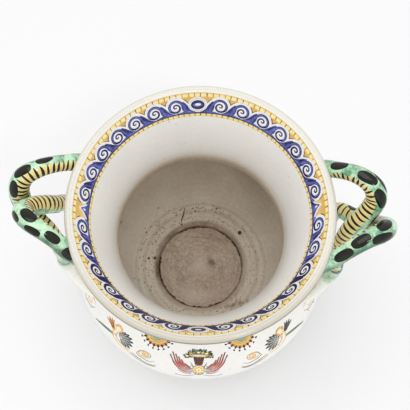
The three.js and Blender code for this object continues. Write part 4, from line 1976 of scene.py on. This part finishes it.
    def wing(self, at: Stencil) -> None:
        """Red wing that sweeps outwards and turns its feathers up.

        Args:
            at: Its place.
        """
        for k, feather in enumerate(self.feathers):
            quill = np.array(feather, float)
            at.stroke(RED, quill, [0.4, 1.5, 2.6, 0.8], 1 + k % 2)
            at.stroke(BROWN, quill[-2:] + [0.7, -0.3], [0.3, 1.2], 3)
        for drop in (0.0, 3.0):
            vane = [(9, -18.4 - drop), (18, -18.6 - drop), (27, -13.6 - drop)]
            at.stroke(RED, vane, [0.8, 1.6, 0.5], 1)
            vein = [(8, -4 - 2 * drop), (12, -8 - drop), (18, -12 - drop)]
            at.stroke(SAGE, vein, [0.3, 0.9, 0.3], 3)

    def ribbon(self, at: Stencil, path: list, width: float, pigment: Pigment) -> None:
        """Tapering ribbon with a dark line along both of its edges.

        Args:
            at: The creature's place.
            path: Points of its middle line.
            width: Width at its start.
            pigment: Its colour.
        """
        line = np.array(path, float)
        taper = np.linspace(1.0, 0.45, len(line))
        side = 0.5 * width * taper[:, None] * left_of(line)
        at.stroke(pigment, line, width * taper, 2)
        for edge in (line + side, line - side):
            at.stroke(GREEN, edge, [0.6] + [1.5] * (len(line) - 2) + [0.6], 3)

    def creature(self, at: Stencil, plume: Pigment) -> None:
        """Winged grotesque whose body runs out into foliage: feathers, curls and scrolls.

        Args:
            at: Its place.
            plume: Colour of its breast feathers.
        """
        self.plumage(at)
        self.trunk(at)
        self.head(at)
        for k, tip in enumerate(((20, 17.5), (24.5, 15.5), (26.5, 11.5), (16, 18))):
            at.stroke(plume, [(9, 5.5), (14, 8 + 0.4 * k), tip], [1.2, 5.6, 1.0], 2 + k % 2)
            bend = (0.5 * (14 + tip[0]), 0.5 * (8 + tip[1]))
            at.stroke(BROWN, [(11, 6.5), bend, tip], [0.3, 0.8, 0.3], 4)
        self.ribbon(at, [(8, -2), (18, -4.6), (30, -8.4), (42, -14)], 3.0, LEAF)
        trail = [(-24, -11.4), (-36, -14.6), (-47, -16.8), (-57, -15.4), (-61, -11.6)]
        self.ribbon(at, trail, 4.4, CREAM)
        curl = (-41, 1.6)
        at.dot(CREAM, curl, 17, 11.4, -0.3, 0)
        at.ring(BROWN, curl, 8.2, 8.9, 0, 360, 1, 0.68)
        angle = np.linspace(0, self.curl_angle, self.curl_steps)
        share = 1 - angle / (self.curl_angle + 0.7)
        spiral = np.stack([7.4 * share * np.cos(angle), 4.6 * share * np.sin(angle)], -1) + curl
        at.stroke(ORANGE, spiral, [0.68, 1.7, 1.7, 1.36], 2)
        at.dot(GOLD, (-41.6, 1.4), 4.4, 2.6, 0, 3)
        at.stroke(BROWN, [(-33, 2), (-31, -3.6), (-40, -7.6), (-52, -8), (-57, -3.4)],
                  [0.3, 0.8, 0.9, 0.8, 0.3], 3)

    def plumage(self, at: Stencil) -> None:
        """Wing of the creature: dark-tipped feathers with a pale line, fanned out from its back.

        Args:
            at: The creature's place.
        """
        root = np.array([-3.0, 1.5])
        for k in range(self.plumes):
            fan = spoke(math.radians(-38 + 19.5 * k)) * [-1, 1]
            tip = root + (19.5 - 0.45 * (k - 2.5) ** 2) * fan
            mid = 0.5 * (tip + root) + [0.6, 1.2]
            far = 0.3 * mid + 0.7 * tip
            at.stroke(SAGE, [root, mid, tip], [2.2, 6.2, 1.6], 1 + k % 2)
            at.stroke(BLACK, [0.6 * mid + 0.4 * tip, far, tip], [0.4, 2.6, 1.2], 3)
            at.stroke(WHITE, [root, mid, far], [0.2, 0.6, 0.2], 4)

    def trunk(self, at: Stencil) -> None:
        """Body of the creature: a pale bend with a warm and a dark outline, and tufts of fur.

        Args:
            at: The creature's place.
        """
        at.stroke(CREAM, [(4, 11), (7, 4), (4, -4), (-6, -9), (-16, -10.4), (-27, -11.4)],
                  [4, 7.4, 7.6, 6, 4.4, 1.6], 5)
        at.stroke(ORANGE, [(7, 10), (10.2, 3), (6.6, -6), (-5, -12), (-16, -12.8), (-28, -12.6)],
                  [0.4, 0.9, 1.0, 0.9, 0.8, 0.3], 6)
        at.stroke(BROWN, [(1.4, 9), (3.6, 2), (0.6, -4), (-8, -6.4), (-20, -8.4)],
                  [0.3, 0.5, 0.6, 0.5, 0.3], 6)
        for k in range(self.tufts):
            spot = np.array([5.0, 2.0]) + at.brush.hand.normal(0, 1, 2) * [4.6, 5.4]
            tuft = spot + at.brush.hand.uniform(-3.0, 3.0, 2)
            fur = (ORANGE, OCHRE, BROWN)[k % 3]
            at.stroke(fur, [spot, 0.5 * (spot + tuft) + 0.5, tuft], [0.5, 1.7 - 0.4 * (k % 3), 0.3], 7)

    def head(self, at: Stencil) -> None:
        """Head of the creature: a pale oval under flicks of golden hair.

        Args:
            at: The creature's place.
        """
        at.dot(CREAM, (4.2, 12.6), 8.2, 7.6, 0, 5)
        for angle in np.radians(np.arange(-20, 250, 30)):
            hair = np.array([4.2, 12.8]) + spoke(angle) * [4.2, 3.8]
            flick = spoke(angle + 0.9)
            lock = [hair, hair + 2.4 * flick, hair + 3.6 * flick + [0.8, 0]]
            at.stroke(ORANGE, lock, [2.0, 1.8, 0.5], 6)
            at.dot(GOLD, hair, 1.8, 1.5, 0, 7)

    def curls(self, at: Stencil) -> None:
        """Loose curls, tints and dots near the handle.

        Args:
            at: Their place.
        """
        at.dot(CREAM, (4, 2), 24, 13, 0.3, 0)
        at.stroke(ORANGE, [(-12, 5), (-4, 8), (3, 4), (2, -3), (-4, -3.6), (-4, 0.6)],
                  [0.4, 1.1, 1.4, 1.2, 1.0, 0.4], 1)
        at.stroke(GOLD, [(6, 10), (13, 6), (15, -1), (10, -5)], [0.6, 2.6, 2.2, 0.5], 1)
        at.stroke(BROWN, [(-14, 1), (-9, -6), (0, -9.4), (9, -8.6), (14, -3)],
                  [0.4, 0.9, 1.0, 0.9, 0.4], 2)
        at.stroke(SAGE, [(16, 9), (21, 3), (20, -6)], [1.4, 4.2, 0.8], 1)
        at.stroke(GREEN, [(18, 7), (21, 1), (20, -4)], [0.4, 1.0, 0.4], 2)
        at.dot(BLACK, (1.6, 5.6), 4.2, 3.0, 0.4, 3)
        at.dot(BROWN, (-9, -9.6), 2.0, 1.7, 0, 2)
        at.dot(BROWN, (5, -13), 1.8, 1.6, 0, 2)

    def paint(self) -> None:
        """Paints both faces of the vase."""
        for centre in (self.front, self.front + math.pi):
            self.basket(self.stencil(0, self.basket_level, 1, centre))
            for mirror, plume in ((1.0, SAGE), (-1.0, ORANGE)):
                side = (mirror, centre)
                self.wing(self.stencil(0, self.basket_level, *side))
                self.sun(self.stencil(self.sun_turn, self.sun_level, *side))
                self.creature(self.stencil(self.creature_turn, self.creature_level, *side), plume)
                self.curls(self.stencil(self.curl_turn, self.curl_level, *side))


# Traces of use inside the belly

@dataclass
class InsideTraces:
    """Dirt along the floor's seam, a firing crack, pits and stains inside the vase."""

    wall: Brushwork
    floor: Brushwork
    seam_radius: float = 63.6
    seam_dashes: int = 64
    soot_chance: float = 0.7
    bows: tuple = (
        (66, 118, 27, 3.5, 70), (118, 170, 20, 8, 60), (150, 208, 16, 9, 44), (-20, 62, 18, 8, 60),
        (62, 120, 11, 5, 40), (-72, -34, 13, 7, 54), (208, 288, 14, 8, 34),
    )
    crumb_dark: float = 0.14
    dark_arcs: tuple = (
        (12.0, 62.0), (82.0, 128.0), (168.0, 214.0), (218.0, 232.0), (240.0, 250.0), (264.0, 274.0),
        (284.0, 302.0),
    )
    crack_place: Point = (math.radians(114.2), 12.0)
    pits: tuple = (
        (41.8, 14.8, 4.2), (173.6, 15.0, 2.6), (172.2, 5.6, 3.2), (155.2, 79.8, 3.0), (150.0, 34.0, 1.6),
        (97.0, 22.0, 1.8), (76.0, 30.0, 1.6), (128.0, 48.0, 1.4),
    )
    wall_specks: int = 190
    wall_reach: float = 24.0
    floor_specks: int = 240
    floor_reach: float = 61.0
    floor_ring: Point = (35.0, 8.0)

    @staticmethod
    def fleck(brush: Brushwork, place: Point, pigment: Pigment, *spans: Point) -> None:
        """Dabs a fleck whose length, width and tilt are drawn from the given spans."""
        shape = [brush.hand.uniform(*span) for span in spans]
        Stencil(brush, place).dot(pigment, (0, 0), *shape, 0)

    def seam(self) -> None:
        """Paints the dirt in the seam: a thin line all round, with dark dashes along some arcs."""
        brush = self.floor
        along = brush.skin.run[-1] - self.seam_radius
        brush.hoop(UMBER, along - 1.4, along + 1.2, 0, 4, 0.6)
        hand = brush.hand
        for degrees in np.linspace(0, 360, self.seam_dashes, endpoint=False):
            dark = any(low < degrees < high for low, high in self.dark_arcs)
            at = Stencil(brush, (math.radians(degrees) + hand.uniform(-0.03, 0.03), along))
            reach = hand.uniform(3, 7) if dark else hand.uniform(1, 3)
            dip = hand.uniform(-0.2, 0.9)
            wide = hand.uniform(2.8, 5.2) if dark else hand.uniform(0.6, 1.6)
            at.stroke(RUST, [(-reach, 0.3), (0, dip), (reach, 0.2)], [0.3, wide, 0.3], 1)
            if dark and hand.uniform(0, 1) < self.soot_chance:
                core = 0.6 * reach
                at.stroke(SOOT, [(-core, 0.2), (0, dip), (core, 0.1)], [0.3, 0.8 * wide, 0.3], 2)

    def flaws(self) -> None:
        """Paints the crack, the pits, the crumbs and the specks on the wall."""
        brush = self.wall
        crack = Stencil(brush, self.crack_place)
        path = [(1.4, -5), (0, 0), (-3.2, 4.6), (-6.8, 8.4), (-9.6, 13.6), (-13.9, 18.4)]
        crack.stroke(SOOT, path, [0.5, 1.4, 2.0, 1.6, 1.4, 0.4], 1)
        crack.dot(SOOT, (2.2, -5.6), 3.4, 2.8, 0.5, 1)
        for degrees, along, size in self.pits:
            pit = Stencil(brush, (math.radians(degrees), along))
            pit.dot(UMBER, (0, 0), 1.7 * size, 1.5 * size, 0.4, 0)
            pit.dot(SOOT, (0.1 * size, 0), 1.25 * size, 1.1 * size, 0.8, 1)
        self.crumbs()
        hand = brush.hand
        for k in range(self.wall_specks):
            place = (hand.uniform(-math.pi, math.pi), abs(hand.normal(0, self.wall_reach)) + 2)
            speck = UMBER if k % 3 else SOOT
            self.fleck(brush, place, speck, (0.6, 2.0), (0.5, 1.3), (0, 3))

    def crumbs(self) -> None:
        """Paints crumbs of dirt in bows round the floor, as they dry along the throwing rings."""
        hand = self.wall.hand
        for low, high, along, spread, count in self.bows:
            for turn in np.radians(hand.uniform(low, high, count)):
                place = (turn, max(along + hand.normal(0, spread), 1.5))
                crumb = UMBER if hand.uniform(0, 1) < self.crumb_dark else DUST
                self.fleck(self.wall, place, crumb, (1.0, 4.4), (0.6, 1.9), (-0.4, 0.4))

    def floor_marks(self) -> None:
        """Paints specks on the floor disc, half of them spread out and half along a ring."""
        hand = self.floor.hand
        for k in range(self.floor_specks):
            if k % 2:
                radius = self.floor_reach * math.sqrt(hand.uniform(0.01, 1))
            else:
                radius = abs(hand.normal(*self.floor_ring))
            place = (hand.uniform(-math.pi, math.pi), self.floor.skin.run[-1] - radius)
            speck = UMBER if k % 4 else SOOT
            self.fleck(self.floor, place, speck, (0.5, 1.9), (0.4, 1.1), (0, 3))

    def paint(self) -> None:
        """Paints the wall's and the floor's traces."""
        self.flaws()
        self.seam()
        self.floor_marks()


# Studio

@dataclass
class Studio:
    """Pale floor, soft light and the camera at the photographed angle."""

    floor_half: float = 3.0
    floor_drop: float = 0.0003
    focal_pixels: float = 600.0
    frame_pixels: float = 410.0
    sensor: float = 36.0
    clip_start: float = 0.01
    elevation: float = math.radians(70.85)
    orbit: float = math.radians(1.6)
    distance: float = 0.6587
    aim_level: float = 0.310
    axis_column: float = 200.5
    sky: float = 0.825
    light_aim: tuple[float, float, float] = (0.0, 0.0, 0.2)
    soft_boxes: tuple = (
        ("top_box", (-0.2, 0.4, 2.4), 1.8, 21.0), ("low_box", (0.2, -2.2, 0.6), 1.6, 3.0),
        ("glint_box", (0.5, -0.9, 2.0), 0.3, 4.0),
    )

    def floor(self) -> None:
        """Lays the floor: a level square just under the foot."""
        around = ((-1, -1), (1, -1), (1, 1), (-1, 1))
        points = [(self.floor_half * x, self.floor_half * y, -self.floor_drop) for x, y in around]
        mesh = bpy.data.meshes.new("studio_floor")
        mesh.from_pydata(points, [], [(0, 1, 2, 3)])
        mesh.materials.append(StudioFloor().make())
        floor = bpy.data.objects.new("studio_floor", mesh)
        bpy.context.scene.collection.objects.link(floor)

    def light(self, name: str, place: tuple[float, float, float], size: float, power: float) -> None:
        """Hangs a square soft box that faces the vase.

        Args:
            name: Its name.
            place: Where it hangs, in metres.
            size: Its side, in metres.
            power: Its power in watts.
        """
        lamp = bpy.data.lights.new(name, "AREA")
        lamp.size = size
        lamp.energy = power
        box = bpy.data.objects.new(name, lamp)
        box.location = place
        box.rotation_euler = self.facing(np.array(self.light_aim) - np.array(place))
        bpy.context.scene.collection.objects.link(box)

    @staticmethod
    def facing(look: Array) -> tuple[float, float, float]:
        """Turn that points an object's -Z axis along a direction, with its X axis level."""
        tilt = math.acos(-look[2] / np.linalg.norm(look))
        return tilt, 0.0, math.atan2(look[1], look[0]) - math.pi / 2

    def camera(self) -> None:
        """Sets up the camera from the fitted elevation, orbit, distance and focal length."""
        lens = bpy.data.cameras.new("studio_camera")
        lens.sensor_width = self.sensor
        lens.lens = self.sensor * self.focal_pixels / self.frame_pixels
        lens.shift_x = (self.frame_pixels / 2 - self.axis_column) / self.frame_pixels
        lens.clip_start = self.clip_start
        back = self.distance * math.cos(self.elevation)
        rise = self.distance * math.sin(self.elevation)
        turn = -math.pi / 2 + self.orbit
        camera = bpy.data.objects.new("studio_camera", lens)
        camera.location = (back * math.cos(turn), back * math.sin(turn), self.aim_level + rise)
        camera.rotation_euler = (math.pi / 2 - self.elevation, 0.0, self.orbit)
        bpy.context.scene.collection.objects.link(camera)
        bpy.context.scene.camera = camera

    def build(self) -> None:
        """Sets the world, the lights, the floor and the camera."""
        scene = bpy.context.scene
        scene.view_settings.view_transform = "Standard"
        world = bpy.data.worlds.new("studio_world")
        world.use_nodes = True
        sky = world.node_tree.nodes["Background"].inputs
        sky["Color"].default_value = (1.0, 1.0, 1.0, 1.0)
        sky["Strength"].default_value = self.sky
        scene.world = world
        self.floor()
        for box in self.soft_boxes:
            self.light(*box)
        self.camera()


# Whole vase

BODY_SLOT = "painted_glaze"
SERPENT_SLOT = "serpent_glaze"


def serpents() -> list[Serpent]:
    """The four serpents; the left pair is the right one turned half round the vase.

    Returns:
        Two for the right handle, then two for the left.
    """
    left_ends = {"belly_end": 226.0, "tail_run": 262.0}
    return [
        Serpent(Side.RIGHT, Role.OVER, 11, 38.0, 50.0,
                ((57, 108, 1.2, 1.3), (87, 84, 1.05, 1.1), (109, 72), (98, 144), (136, 112),
                 (237, 92, 0.8, 0.8), (74, 178))),
        Serpent(Side.RIGHT, Role.UNDER, 12, 28.0, 40.0,
                ((54, 112, 1.35, 1.2), (75, 83, 1.15, 1.15), (93, 134, 1.1, 1.05), (102, 64, 1.0, 1.15),
                 (130, 120), (193, 52, 1.0, 0.9))),
        Serpent(Side.LEFT, Role.OVER, 23, 36.0, 66.0,
                ((61, 102, 1.05, 1.1), (79, 138, 0.9, 0.9), (90, 67, 0.92, 1.22), (37, 128, 0.95, 1.1),
                 (99, 134, 0.6, 0.7), (124, 150)), **left_ends),
        Serpent(Side.LEFT, Role.UNDER, 24, 66.0, 84.0,
                ((76, 113, 1.05, 1.1), (97, 97, 0.85, 0.95), (116, 74, 0.95, 0.9), (58, 166), (140, 124)),
                **left_ends),
    ]


def main() -> None:
    """Builds the studio, the vase and its painting."""
    logging.basicConfig(level=logging.INFO, format="%(name)s %(message)s")
    Studio().build()
    effects = Effects()
    glaze = TinGlaze().make(effects)
    serpent_glaze = SerpentGlaze().make(effects)
    palette = {pigment: pigment.value.make(pigment.name.lower(), effects) for pigment in Pigment}

    collar, belly, foot = NeckCollar(), BellyBowl(), FootRing()
    for piece in (collar, belly, foot):
        piece.build(glaze, BODY_SLOT)

    rim, lip = Brushwork(collar.inner_skin(), 3), Brushwork(collar.lip_skin(), 4)
    shoulder = Brushwork(belly.skin(), 5)
    wall, floor = Brushwork(belly.inner_skin(), 6), Brushwork(foot.floor_skin(), 7)
    RimBand(rim).paint()
    collar.paint(lip)
    Frieze(shoulder).paint()
    InsideTraces(wall, floor).paint()
    for prefix, brush in {
        "rim_band": rim, "lip_line": lip, "frieze": shoulder, "wall_traces": wall, "floor_traces": floor,
    }.items():
        brush.build(prefix, palette, BODY_SLOT)

    coils = [(serpent, serpent.skin()) for serpent in serpents()]
    for pair in (coils[:2], coils[2:]):
        for (serpent, skin), (_, beside) in zip(pair, pair[::-1]):
            serpent.build(skin, beside, serpent_glaze, SERPENT_SLOT)
            serpent.paint(skin, palette, SERPENT_SLOT)


if __name__ == "__main__":
    main()
